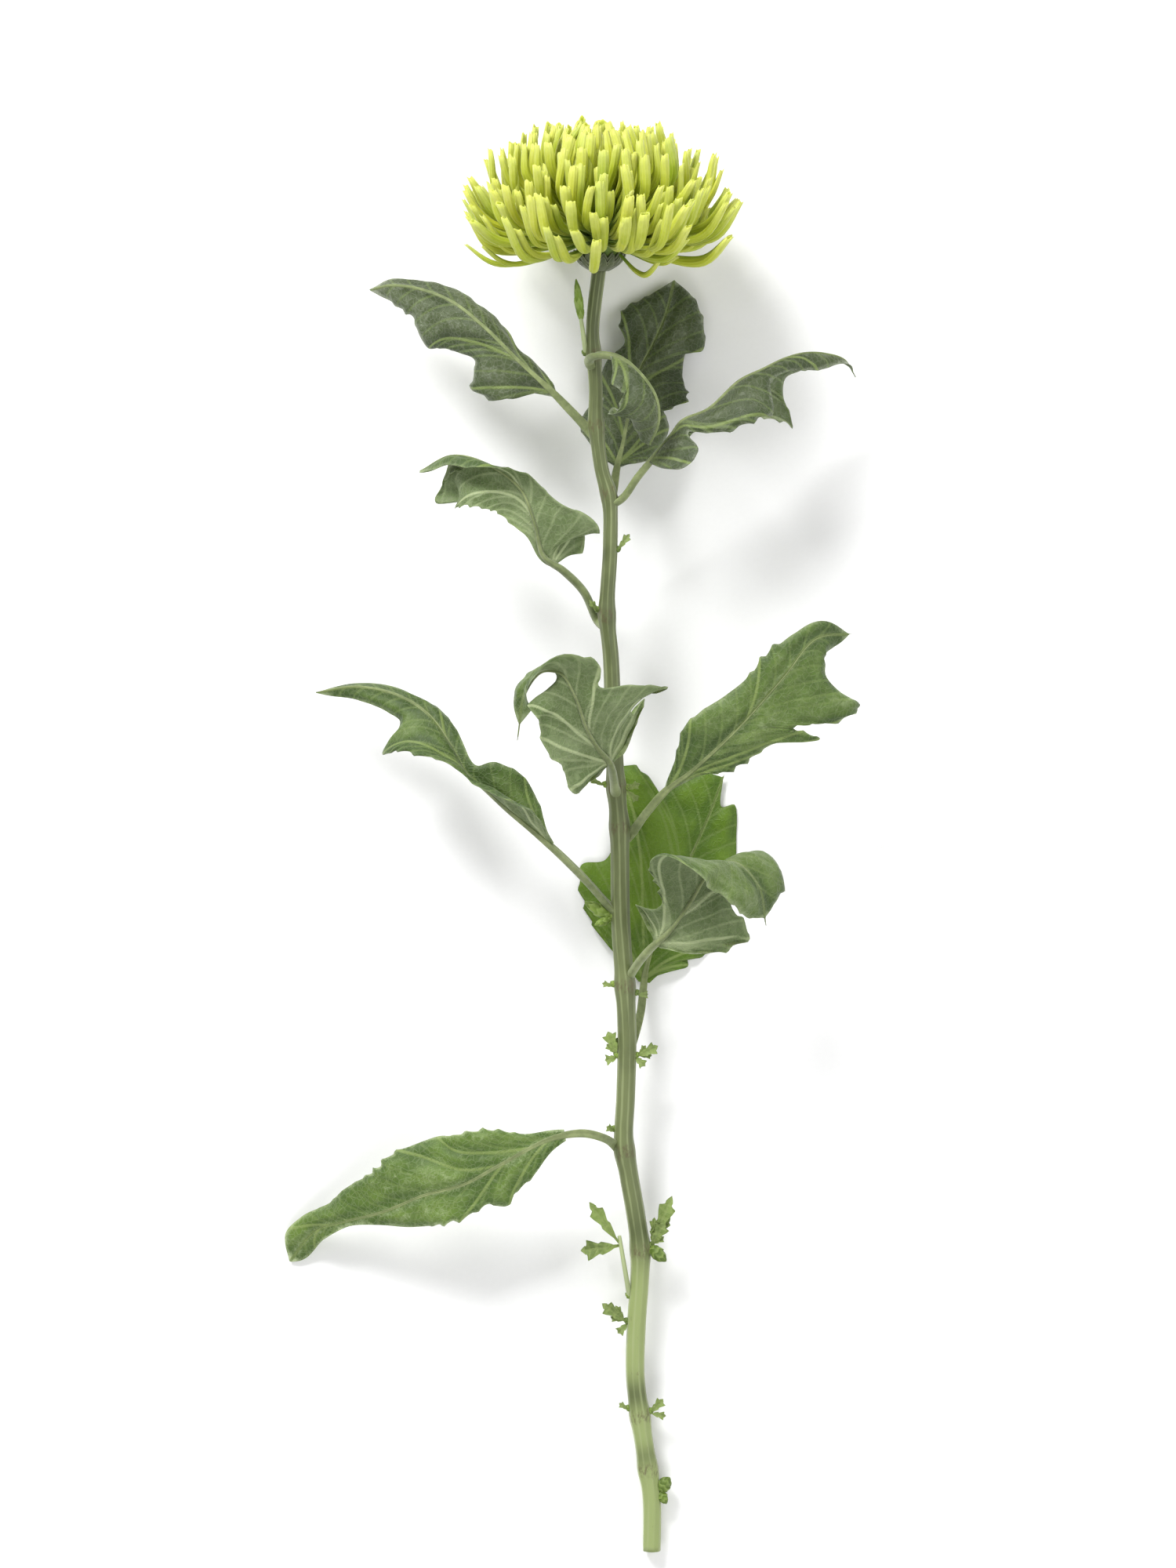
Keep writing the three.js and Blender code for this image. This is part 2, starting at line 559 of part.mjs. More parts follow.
// distance from the receptacle's centre to the outline of the bloom
const bloomReach = (polar) => lerp(BLOOM_HEIGHT, BLOOM_RADIUS, Math.sin(polar) ** 2);

function floretSolid(polar, azimuth, root, reach) {
  const points = [];
  for (let i = 0; i <= FLORET_STEPS; i += 1) {
    const t = i / FLORET_STEPS;
    const distance = lerp(root, reach, t);
    const bow = FLORET_BOW * Math.sin(Math.PI * t) * Math.sin(polar);
    points.push(bloomPoint(distance, polar + radians(bow), azimuth, FLORET_CLEARANCE));
  }
  const radiusAt = (t) => lerp(FLORET_FOOT, FLORET_TIP, t ** FLORET_SWELLING);
  return solid(tube(new THREE.CatmullRomCurve3(points), radiusAt, FLORET_SIDES, FLORET_STEPS));
}

// ring round the dome that one whorl grows from, a cap for the first
function collarSolid(whorl) {
  const inside = DOME_RADIUS + GAP;
  const margin = GAP / 2 / inside;
  const from = whorl === 0 ? 0 : polarAngle(whorl / WHORLS) + margin;
  const to = polarAngle((whorl + 1) / WHORLS) - margin;
  const corner = (radius, angle) => [radius * Math.sin(angle), radius * Math.cos(angle)];
  const outside = inside + COLLAR_THICKNESS;
  const ring = [corner(inside, from), corner(inside, to), corner(outside, to), corner(outside, from)];
  if (whorl > 0) ring.push(ring[0]);
  return solid(lathe(ring, COLLAR_SEGMENTS));
}

function whorlSolid(whorl) {
  const polar = polarAngle((whorl + 0.5) / WHORLS);
  const root = DOME_RADIUS + GAP + COLLAR_THICKNESS / 2;
  let body = collarSolid(whorl);
  for (let i = 0; i < FLORETS_PER_WHORL; i += 1) {
    const azimuth = (whorl * FLORETS_PER_WHORL + i) * GOLDEN_ANGLE;
    body = body.add(floretSolid(polar, azimuth, root, bloomReach(polar)));
  }
  return body;
}

// florets that hang below the rest: [azimuth in degrees, polar angle in degrees, reach]
const STRAY_FLORETS = [[129, 106, 28], [112, 99, 30], [-79, 96, 47], [-100, 94, 41]];

// ---------- the whole plant ----------
const group = new THREE.Group();
group.add(mesh('stem', stem, MATERIALS.stem));
const numbered = (word, i) => `${word}_${String(i + 1).padStart(2, '0')}`;
const leafClearance = LEAVES.map((leaf) => leafSolid(leaf, GAP));
LEAVES.forEach((leaf, i) => group.add(mesh(numbered('leaf', i), leafSolid(leaf), MATERIALS.leaf)));
SHOOTS.forEach((shoot, i) => {
  const clear = leafClearance.reduce((body, leaf) => body.subtract(leaf), shootSolid(shoot));
  group.add(mesh(numbered('shoot', i), clear, MATERIALS.shoot));
});
group.add(mesh('receptacle', receptacleSolid(), MATERIALS.receptacle));
group.add(mesh('involucre', involucreSolid(), MATERIALS.involucre));
for (let i = 0; i < WHORLS; i += 1) {
  group.add(mesh(numbered('floret_whorl', i), whorlSolid(i), MATERIALS.floret));
}
STRAY_FLORETS.forEach(([azimuth, polar, reach], i) => {
  const stray = floretSolid(radians(polar), radians(azimuth), STRAY_ROOT, reach);
  group.add(mesh(numbered('stray_floret', i), stray, MATERIALS.floret));
});

// the origin sits under the middle of everything, on the surface
const box = new THREE.Box3().setFromObject(group);
group.position.set(-(box.min.x + box.max.x) / 2, -(box.min.y + box.max.y) / 2, -box.min.z);
const part = new THREE.Group();
part.add(group);

export default part;
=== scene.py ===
"""A cut chrysanthemum on a pale surface: quilled green bloom, lobed leaves, side shoots, ridged stem."""
import math

import bpy
import numpy as np
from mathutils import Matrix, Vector


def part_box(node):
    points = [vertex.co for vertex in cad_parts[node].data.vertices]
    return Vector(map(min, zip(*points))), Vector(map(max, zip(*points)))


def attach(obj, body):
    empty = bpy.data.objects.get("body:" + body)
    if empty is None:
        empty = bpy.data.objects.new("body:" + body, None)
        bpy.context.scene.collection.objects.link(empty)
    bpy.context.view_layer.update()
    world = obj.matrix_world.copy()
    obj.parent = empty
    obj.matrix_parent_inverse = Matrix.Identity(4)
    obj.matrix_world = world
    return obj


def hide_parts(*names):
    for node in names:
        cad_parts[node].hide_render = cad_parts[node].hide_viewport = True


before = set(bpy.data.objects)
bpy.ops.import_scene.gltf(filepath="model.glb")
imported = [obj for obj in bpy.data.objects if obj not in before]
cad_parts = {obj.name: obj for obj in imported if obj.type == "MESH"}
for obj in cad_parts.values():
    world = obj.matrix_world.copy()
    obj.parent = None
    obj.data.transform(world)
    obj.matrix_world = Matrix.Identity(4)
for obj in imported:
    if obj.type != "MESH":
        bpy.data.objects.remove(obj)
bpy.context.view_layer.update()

# ---------- the plant's own measures, in millimetres from the middle of the cut end ----------
CUT_RADIUS = 3.15
STEM_RISE = 0.088  # climb of the stem per millimetre of its length
HEAD_CENTRE = np.array([-18.4, 458.0, 45.0])
HEAD_TILT = math.radians(12)  # the face of the bloom turns up by this much from the stem's line
DOME_RADIUS = 8.5
DOME_FLATTEN = 0.85
WHORLS = 10
FLORETS_PER_WHORL = 21
FILLERS_PER_WHORL = 9  # shorter florets among the others
GOLDEN_ANGLE = math.pi * (3 - math.sqrt(5))
BLOOM_RADIUS = 50.0
BLOOM_HEIGHT = 40.0
LAST_ANGLE = math.radians(87)
VEIN_SLANT = 0.7  # how far a side vein runs forward for each millimetre outward
CURL_WIDTH = 20.0
UP = [[0, 0, 1]]
SURFACE_GAP = 0.35  # lowest height of any leaf or floret above the surface

# where the plant's own measures sit in the row frame
receptacle_low, receptacle_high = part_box("receptacle")
stem_low, stem_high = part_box("stem")
cut_dip = CUT_RADIUS * math.sin(math.atan(STEM_RISE))
ROW_SHIFT = np.array([
    (receptacle_low[0] + receptacle_high[0]) * 500 - HEAD_CENTRE[0],
    stem_low[1] * 1000 + cut_dip,
    0.0,
])


def half(fold, curl, edge):
    """One half of a blade: fold at the rib and curl in degrees, and its flat edge [along, out]."""
    return {"fold": fold, "curl": curl, "edge": edge}


STEM_RADII = [[0, 3.15], [60, 3.3], [133, 3.45], [250, 3.25], [350, 2.65], [429, 2.3], [450, 2.5]]
NODE_HEIGHTS = [29, 48, 107, 142, 200, 256, 270, 330, 372, 395, 420]
STEM_PATH = [
    [0, 0], [0, 18.4], [-1.4, 29.4], [-4.1, 47.7], [-5.8, 62.3], [-5.5, 78.8], [-4.4, 95.2],
    [-4.1, 106.8], [-5.5, 118.3], [-8.2, 133.6], [-9.9, 144.6], [-9.3, 161.1], [-8.8, 181.7],
    [-9.6, 200.6], [-11, 221.5], [-11.5, 256.3], [-12.6, 269.5], [-13.4, 287.3], [-14.5, 314.8],
    [-15.9, 329.9], [-14.8, 353.2], [-15.1, 370.5], [-17.8, 380.6], [-19.8, 397.1], [-19.8, 408.1],
    [-20.6, 420.4], [-20.9, 429.5], [-18.7, 450],
]
LEAVES = [
    {
        "rib": [
            [-22, 394, 38], [-28, 400, 42], [-36, 408, 45], [-47, 418, 46], [-58, 429, 45],
            [-69, 438, 42], [-80, 443, 37], [-91, 445, 31], [-99, 444, 24],
        ],
        "stalk": 18,
        "face": UP,
        "left": half([-10, -15], [-20, -25], [
            [0, 1], [7, 6], [14, 15], [22, 19], [26, 14], [29, 11], [37, 14], [46, 18], [54, 20],
            [60, 17], [65, 10], [71, 8], [78, 5], [85, 0],
        ]),
        "right": half([-45, -50], [-70, -60], [
            [0, 1], [5, 5], [14, 11], [22, 8], [34, 13], [46, 11], [56, 11], [66, 7], [76, 4],
            [85, 0],
        ]),
    },
    {
        "rib": [
            [-14, 372, 30], [-12.5, 381, 24], [-10, 392, 17], [-7.5, 405, 12], [-4.7, 416, 9],
            [0.8, 427, 7], [5, 437, 5], [8, 449, 4],
        ],
        "stalk": 12,
        "face": UP,
        "left": half([5], [-10], [
            [0, 1], [6, 10], [14, 16], [20, 15], [24, 9], [30, 12], [38, 12], [45, 9], [50, 13],
            [58, 14], [66, 8], [74, 0],
        ]),
        "right": half([5], [-10], [
            [0, 1], [8, 11], [14, 14], [20, 15], [27, 12], [31, 18], [39, 18], [46, 14], [52, 12],
            [55, 17], [63, 13], [70, 7], [74, 0],
        ]),
    },
    {
        "rib": [
            [-22, 418, 42], [-20, 420, 49], [-13, 419, 53], [-5, 413, 59], [1, 404, 61],
            [2, 396, 59], [-1, 388, 53],
        ],
        "stalk": 14,
        "face": [[0, 1, 0.3], [0.3, 0.6, 0.8], [0.2, 0, 1]],
        "left": half([-80], [-20], [
            [0, 1], [8, 6], [18, 9], [26, 7], [33, 9], [40, 4], [46, 0],
        ]),
        "right": half([-10], [-25], [
            [0, 1], [5, 5], [11, 10], [17, 9], [23, 14], [34, 18], [38, 11], [42, 6], [46, 0],
        ]),
    },
    {
        "rib": [
            [-11, 371, 37], [-6, 378, 40], [0, 385, 43], [6, 392, 45], [10, 397, 46],
            [19, 401, 47], [30, 411, 46], [38, 415, 44], [46, 419, 41], [53, 421, 38],
            [60, 421, 35], [67, 419, 32], [71, 413, 29],
        ],
        "stalk": 16,
        "face": [[-0.5, 0.85, 0.2]],
        "left": half([-60], [0], [
            [0, 1], [8, 4], [14, 6], [27, 8], [33, 11], [40, 12], [48, 18], [62, 27], [59, 15],
            [61, 8], [68, 7], [76, 5], [84, 2], [92, 0],
        ]),
        "right": half([-35, -60, -60], [0], [
            [0, 1], [4, 10], [8, 15], [14, 14], [17, 6], [24, 7], [32, 12], [40, 16], [48, 17],
            [53, 6], [60, 5], [68, 6], [76, 6], [84, 3], [92, 0],
        ]),
    },
    {
        "rib": [
            [-19, 328, 27], [-24, 338, 33], [-31, 345, 38], [-38, 350, 42], [-41, 361, 46],
            [-46, 373, 48], [-58, 382, 48], [-70, 385, 42], [-81, 380, 35],
        ],
        "stalk": 28,
        "face": [[0, 0, -1]],
        "left": half([0, -10, -110, -120], [0], [
            [-5, 9], [-1, 16], [3, 12], [6, 20], [14, 21], [19, 14], [26, 8], [36, 7], [50, 8],
            [64, 6], [76, 0],
        ]),
        "right": half([0], [10], [
            [0, 1], [12, 3], [25, 10], [39, 14], [60, 18], [74, 12], [68, 8], [53, 5], [62, 3],
            [70, 2], [76, 0],
        ]),
    },
    {
        "rib": [
            [-14, 228, 24], [-22, 237, 32], [-32, 247, 38], [-39, 253, 40], [-50, 262, 42],
            [-59, 270, 42], [-64, 274, 41], [-70, 284, 39], [-78, 295, 36], [-89, 302, 32],
            [-104, 305, 26], [-118, 303, 20],
        ],
        "stalk": 34,
        "face": [[0.6, 0.7, 0.4], [0.6, 0.7, 0.4], [0, 0, 1], [0, 0, 1]],
        "left": half([60, 50, -10, -10], [0], [
            [0, 1], [8, 6], [18, 11], [28, 10], [38, 4], [46, 9], [56, 14], [74, 21], [72, 9],
            [80, 7], [92, 5], [102, 3], [110, 0],
        ]),
        "right": half([60, 50, -60, -70], [0], [
            [0, 1], [5, 3], [13, 9], [23, 12], [32, 10], [40, 4], [56, 5], [70, 6], [84, 4],
            [98, 3], [110, 0],
        ]),
    },
    {
        "rib": [
            [-13, 269, 30], [-15, 278, 46], [-19, 283, 52], [-23, 290, 58], [-27, 301, 64],
            [-32, 309, 67], [-38, 310, 64], [-44, 303, 56], [-47, 286, 46],
        ],
        "stalk": 18,
        "face": [[0, 0, -1], [0, -0.3, -1], [0, -0.3, -1], [0, 0.8, 0.6], [-0.3, 0.6, 1]],
        "left": half([0], [0], [
            [0, 2], [3, 12], [6, 25], [10, 17], [15, 18], [24, 30], [29, 20], [32, 9], [38, 12],
            [44, 8], [52, 6], [64, 6], [76, 0],
        ]),
        "right": half([0], [0], [
            [0, 2], [1, 10], [6, 17], [13, 14], [20, 16], [30, 15], [40, 16], [50, 11], [62, 8],
            [76, 0],
        ]),
    },
    {
        "rib": [
            [-8, 253, 25], [-2, 261, 36], [5, 269, 42], [13, 275, 46], [29, 290, 52],
            [45, 308, 56], [56, 321, 54], [69, 323, 46],
        ],
        "stalk": 27,
        "face": UP,
        "left": half([10], [-10], [
            [0, 1], [13, 9], [20, 13], [30, 13], [39, 11], [50, 9], [62, 9], [72, 6], [80, 5],
            [90, 0],
        ]),
        "right": half([-10], [-10], [
            [0, 1], [12, 3], [20, 8], [29, 11], [38, 14], [49, 25], [46, 14], [53, 20], [61, 28],
            [67, 29], [66, 20], [68, 12], [76, 9], [84, 5], [90, 0],
        ]),
    },
    {
        "rib": [
            [-7, 180, 14], [-4, 190, 7], [-2, 205, 3], [3.5, 222, 2], [12, 241, 2], [20, 259, 2],
            [26, 275, 2],
        ],
        "stalk": 24,
        "face": UP,
        "left": half([0], [0], [
            [0, 2], [3, 5], [10, 16], [17, 25], [29, 34], [34, 27], [50, 29], [69, 35], [69, 26],
            [60, 21], [71, 15], [77, 8], [78, 0],
        ]),
        "right": half([0], [0], [
            [0, 2], [5, 6], [10, 14], [15, 12], [16, 18], [25, 19], [35, 18], [50, 16], [60, 12],
            [70, 7], [68, 3], [78, 0],
        ]),
    },
    {
        "rib": [
            [-9, 201, 19], [-2, 212, 34], [6, 220, 42], [13, 230, 48], [20, 241, 54],
            [28, 244, 58], [36, 236, 60], [39, 222, 54],
        ],
        "stalk": 26,
        "face": [[0, -0.3, -1], [0, -0.3, -1], [-0.2, 0.3, -1], [0, 0.9, 0.4], [0.3, 0.5, 0.8]],
        "left": half([0], [0], [
            [0, 2], [4, 6], [8, 12], [14, 20], [20, 24], [25, 14], [30, 11], [36, 15], [46, 17],
            [54, 15], [62, 12], [70, 0],
        ]),
        "right": half([0], [0], [
            [0, 2], [3, 9], [7, 15], [14, 8], [24, 14], [34, 25], [42, 27], [52, 18], [60, 13],
            [66, 8], [70, 0],
        ]),
    },
    {
        "rib": [
            [-12, 143, 16], [-17, 147, 26], [-25, 149, 32], [-36, 147, 34], [-53, 138, 32],
            [-66, 131, 30], [-80, 127, 27], [-94, 121, 22], [-108, 117, 15], [-119, 113, 8],
            [-128, 102, 1],
        ],
        "stalk": 28,
        "face": UP,
        "left": half([0], [-10], [
            [0, 2], [8, 5], [17, 9], [25, 11], [31, 14], [36, 10], [44, 11], [56, 11], [64, 9],
            [75, 4], [86, 2], [98, 4], [112, 4], [117, 0],
        ]),
        "right": half([0], [-10], [
            [0, 2], [12, 5], [22, 12], [35, 17], [45, 19], [54, 18], [61, 17], [66, 15], [82, 12],
            [95, 7], [102, 7], [109, 7], [117, 0],
        ]),
    },
]
SHOOTS = [
    {
        "at": 420,
        "side": -1,
        "stalked": True,
        "leaflets": [[-25, 433, 2, 0.7, 0.7], [-26.5, 445, 3, 1.7, 1.2]],
    },
    {"at": 352, "side": 1, "leaflets": [[-8, 358, 1, 1, 0.8]]},
    {"at": 331, "side": -1, "leaflets": [[-22, 335, 4, 0.8, 0.5]]},
    {"at": 270, "side": -1, "leaflets": [[-22.5, 273, 2, 0.8, 0.5]]},
    {"at": 269, "side": 1, "leaflets": [[-4.5, 271, 3, 1, 0.6], [-5, 265, 1, 1, 0.6]]},
    {"at": 224, "side": -1, "leaflets": [[-22.5, 229, 1, 2.4, 1.8], [-19, 222, 2, 1.6, 1.2]]},
    {"at": 200, "side": -1, "leaflets": [[-17.5, 201, 1, 0.8, 0.5]]},
    {"at": 197, "side": 1, "leaflets": [[-1.5, 197, -2, 0.9, 0.5]]},
    {"at": 175, "side": -1, "leaflets": [[-15.5, 184, 1, 1.7, 0.8], [-16.5, 174, 2, 1.3, 0.7]]},
    {"at": 175, "side": 1, "leaflets": [[2, 179, 2, 1.5, 0.7], [-2.5, 172, 3, 1.2, 0.7]]},
    {"at": 149, "side": -1, "leaflets": [[-16, 150.5, 2, 1, 0.6]]},
    {
        "at": 90,
        "side": -1,
        "stalked": True,
        "leaflets": [[-11.5, 112, 4, 0.7, 0.7], [-22, 124, 6, 1.8, 0.8], [-25, 107, 7, 2.4, 0.8]],
    },
    {
        "at": 108,
        "side": 1,
        "leaflets": [[7, 126, 3, 2, 0.8], [4.5, 117, 4, 1.8, 0.8], [4, 104, 3, 2.6, 1.6]],
    },
    {"at": 81, "side": -1, "leaflets": [[-17.5, 88, 3, 1.7, 0.8], [-12, 77.5, 2, 1.2, 0.8]]},
    {"at": 50, "side": -1, "leaflets": [[-11.5, 52.5, 1, 0.8, 0.5]]},
    {"at": 49, "side": 1, "leaflets": [[4, 54, 2, 1.3, 0.6], [5, 48, 1, 1, 0.6]]},
    {"at": 21, "side": 1, "leaflets": [[5.5, 25, 1, 2.8, 2], [4.5, 18, 1, 2, 1.5]]},
]

# ---------- curves ----------
def smooth_path(points, per=40):
    """Centripetal curve through points, as a dense list of points."""
    points = [np.array(point, float) for point in points]
    pieces = []
    for i in range(len(points) - 1):
        a, b = points[i], points[i + 1]
        before = points[i - 1] if i > 0 else 2 * a - b
        after = points[i + 2] if i + 2 < len(points) else 2 * b - a
        d0 = max(np.sum((before - a) ** 2) ** 0.25, 1e-4)
        d1 = max(np.sum((a - b) ** 2) ** 0.25, 1e-4)
        d2 = max(np.sum((b - after) ** 2) ** 0.25, 1e-4)
        start = ((a - before) / d0 - (b - before) / (d0 + d1) + (b - a) / d1) * d1
        end = ((b - a) / d1 - (after - a) / (d1 + d2) + (after - b) / d2) * d1
        t = np.linspace(0, 1, per, endpoint=False)[:, None]
        cubic = (2 * a - 2 * b + start + end) * t**3
        pieces.append(a + start * t + (3 * b - 3 * a - 2 * start - end) * t**2 + cubic)
    pieces.append(points[-1][None, :])
    return np.concatenate(pieces)


class Path:
    """A smooth curve measured by the distance along it."""

    def __init__(self, points):
        self.points = smooth_path(points)
        steps = np.linalg.norm(np.diff(self.points, axis=0), axis=1)
        self.stations = np.concatenate([[0], np.cumsum(steps)])
        self.length = self.stations[-1]

    def at(self, station):
        station = np.clip(station, 0, self.length)
        return np.stack([np.interp(station, self.stations, axis) for axis in self.points.T], -1)

    def heading(self, station):
        station = np.clip(np.asarray(station, float), 0.5, self.length - 0.5)
        ahead = self.at(station + 0.5) - self.at(station - 0.5)
        return ahead / np.linalg.norm(ahead, axis=-1, keepdims=True)


def unit(vectors):
    return vectors / np.maximum(np.linalg.norm(vectors, axis=-1, keepdims=True), 1e-9)


def spread(keys, fraction):
    """Value at a fraction of the way through evenly spread keys, numbers or directions."""
    keys = np.array(keys, float)
    places = np.linspace(0, 1, len(keys))
    if keys.ndim == 1:
        return np.interp(fraction, places, keys)
    return np.stack([np.interp(fraction, places, column) for column in keys.T], -1)


def along(pairs, x):
    pairs = np.array(pairs, float)
    return np.interp(x, pairs[:, 0], pairs[:, 1])


def fade(x, low, high):
    """0 below low, 1 above high, and smooth between."""
    t = np.clip((x - low) / (high - low), 0, 1)
    return t * t * (3 - 2 * t)


def soft_floor(height, clearance, softness=1.5):
    """Keeps heights above a clearance, flattening towards it."""
    return clearance + softness * np.logaddexp(0, (height - clearance) / softness)


# ---------- skins ----------
def sheet_faces(rows, columns, start=0, flip=False):
    """Quads of a grid of points."""
    i, j = np.meshgrid(np.arange(rows - 1), np.arange(columns - 1), indexing="ij")
    a = (start + i * columns + j).ravel()
    quads = np.stack([a, a + 1, a + columns + 1, a + columns], -1)
    return quads[:, ::-1] if flip else quads


def closed_sheet_faces(rows, columns):
    """Faces of a grid of points, of a second grid under it, and of the edges between them."""
    size = rows * columns
    faces = sheet_faces(rows, columns, 0, True).tolist() + sheet_faces(rows, columns, size).tolist()
    edges = (
        (range(0, size, columns), True),
        (range(columns - 1, size, columns), False),
        (range(columns), False),
        (range(size - columns, size), True),
    )
    for edge, turn in edges:
        for a, b in zip(edge, edge[1:]):
            faces.append([a, b, b + size, a + size] if turn else [a, a + size, b + size, b])
    return faces


def tube_faces(rings, sides, start=0):
    """Quads round a tube of rings."""
    i, j = np.meshgrid(np.arange(rings - 1), np.arange(sides), indexing="ij")
    a = (start + i * sides + j).ravel()
    b = (start + i * sides + (j + 1) % sides).ravel()
    return np.stack([a, b, b + sides, a + sides], -1)


def twice(values):
    """Marks of an upper surface, and the same again for the surface under it."""
    return np.concatenate([values.ravel(), values.ravel()])


class Skin:
    """Points, faces and surface marks of one piece, gathered part by part."""

    def __init__(self, *marks):
        self.points = []
        self.faces = []
        self.marks = {mark: [] for mark in marks}
        self.count = 0

    def add(self, points, faces, **marks):
        points = np.asarray(points, float).reshape(-1, 3)
        self.points.append(points)
        self.faces.extend((np.asarray(face) + self.count).tolist() for face in faces)
        for name, values in self.marks.items():
            value = np.asarray(marks.get(name, 0.0), float)
            values.append(np.broadcast_to(value.ravel(), (len(points),)))
        self.count += len(points)

    def add_tube(self, rings, **marks):
        """Rings of equally many points, with both ends closed."""
        rings = np.asarray(rings, float)
        count, sides = rings.shape[:2]
        points = np.concatenate([rings.reshape(-1, 3), rings[:1].mean(1), rings[-1:].mean(1)])
        faces = tube_faces(count, sides).tolist()
        last = (count - 1) * sides
        for j in range(sides):
            faces.append([count * sides, (j + 1) % sides, j])
            faces.append([count * sides + 1, last + j, last + (j + 1) % sides])
        grown = {}
        for name, value in marks.items():
            value = np.broadcast_to(np.asarray(value, float), (count, sides))
            grown[name] = np.concatenate([value.ravel(), [value[0].mean(), value[-1].mean()]])
        self.add(points, faces, **grown)

    def piece(self, name, material, slot, *nodes):
        """The finished object, riding on the plant and standing for its CAD nodes."""
        points = np.concatenate(self.points) + ROW_SHIFT
        mesh = bpy.data.meshes.new(name)
        mesh.from_pydata((points / 1000).tolist(), [], self.faces)
        for mark, values in self.marks.items():
            layer = mesh.attributes.new(mark, "FLOAT", "POINT")
            layer.data.foreach_set("value", np.concatenate(values).astype(np.float32))
        mesh.polygons.foreach_set("use_smooth", [True] * len(mesh.polygons))
        mesh.validate()
        mesh.update()
        mesh.materials.append(material)
        thing = bpy.data.objects.new(name, mesh)
        bpy.context.scene.collection.objects.link(thing)
        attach(thing, "root")
        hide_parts(*nodes)
        return thing


# ---------- shader arithmetic ----------
class Wire:
    """An output in a material, so that shader sums read as arithmetic."""

    def __init__(self, recipe, socket):
        self.recipe = recipe
        self.socket = socket

    def __add__(self, other):
        return self.recipe.sum("ADD", self, other)

    def __radd__(self, other):
        return self.recipe.sum("ADD", other, self)

    def __sub__(self, other):
        return self.recipe.sum("SUBTRACT", self, other)

    def __rsub__(self, other):
        return self.recipe.sum("SUBTRACT", other, self)

    def __mul__(self, other):
        return self.recipe.sum("MULTIPLY", self, other)

    def __rmul__(self, other):
        return self.recipe.sum("MULTIPLY", other, self)


class Recipe:
    """A material being written down."""

    def __init__(self, name):
        self.material = bpy.data.materials.new(name)
        self.material.use_nodes = True
        self.tree = self.material.node_tree
        self.tree.nodes.clear()

    def node(self, kind, settings=None, inputs=None, output=0):
        node = self.tree.nodes.new(kind)
        for name, value in (settings or {}).items():
            setattr(node, name, value)
        for name, value in (inputs or {}).items():
            if isinstance(value, Wire):
                self.tree.links.new(value.socket, node.inputs[name])
            else:
                node.inputs[name].default_value = value
        return Wire(self, node.outputs[output]) if node.outputs else None

    def sum(self, operation, a, b):
        return self.node("ShaderNodeMath", {"operation": operation}, {0: a, 1: b})

    def mark(self, name):
        return self.node("ShaderNodeAttribute", {"attribute_name": name}, output="Fac")

    def place(self):
        return self.node("ShaderNodeTexCoord", output="Object")

    def noise(self, scale, detail=3.0, roughness=0.55, stretch=None):
        place = self.place()
        if stretch:
            place = self.node("ShaderNodeMapping", None, {"Vector": place, "Scale": stretch})
        inputs = {"Vector": place, "Scale": scale, "Detail": detail, "Roughness": roughness}
        return self.node("ShaderNodeTexNoise", None, inputs, output=0)

    def net(self, flat, scale):
        """Distance to the lines of a cell network."""
        settings = {"feature": "DISTANCE_TO_EDGE"}
        inputs = {"Vector": flat, "Scale": scale}
        return self.node("ShaderNodeTexVoronoi", settings, inputs, output="Distance")

    def step(self, value, low, high):
        inputs = {"Value": value, "From Min": low, "From Max": high}
        return self.node("ShaderNodeMapRange", {"interpolation_type": "SMOOTHSTEP"}, inputs)

    def mix(self, share, a, b):
        """From colour a to colour b."""
        pair = {0: share}
        for socket, colour in ((6, a), (7, b)):
            pair[socket] = colour if isinstance(colour, Wire) else (*colour, 1.0)
        return self.node("ShaderNodeMix", {"data_type": "RGBA"}, pair, output=2)

    def join(self, x, y, z):
        return self.node("ShaderNodeCombineXYZ", None, {"X": x, "Y": y, "Z": z})

    def bump(self, height, distance, strength=1.0, normal=None):
        inputs = {"Height": height, "Distance": distance, "Strength": strength}
        if normal:
            inputs["Normal"] = normal
        return self.node("ShaderNodeBump", None, inputs)

    def finish(self, **inputs):
        named = {name.replace("_", " "): value for name, value in inputs.items()}
        surface = self.node("ShaderNodeBsdfPrincipled", None, named)
        self.node("ShaderNodeOutputMaterial", None, {"Surface": surface})
        return self.material


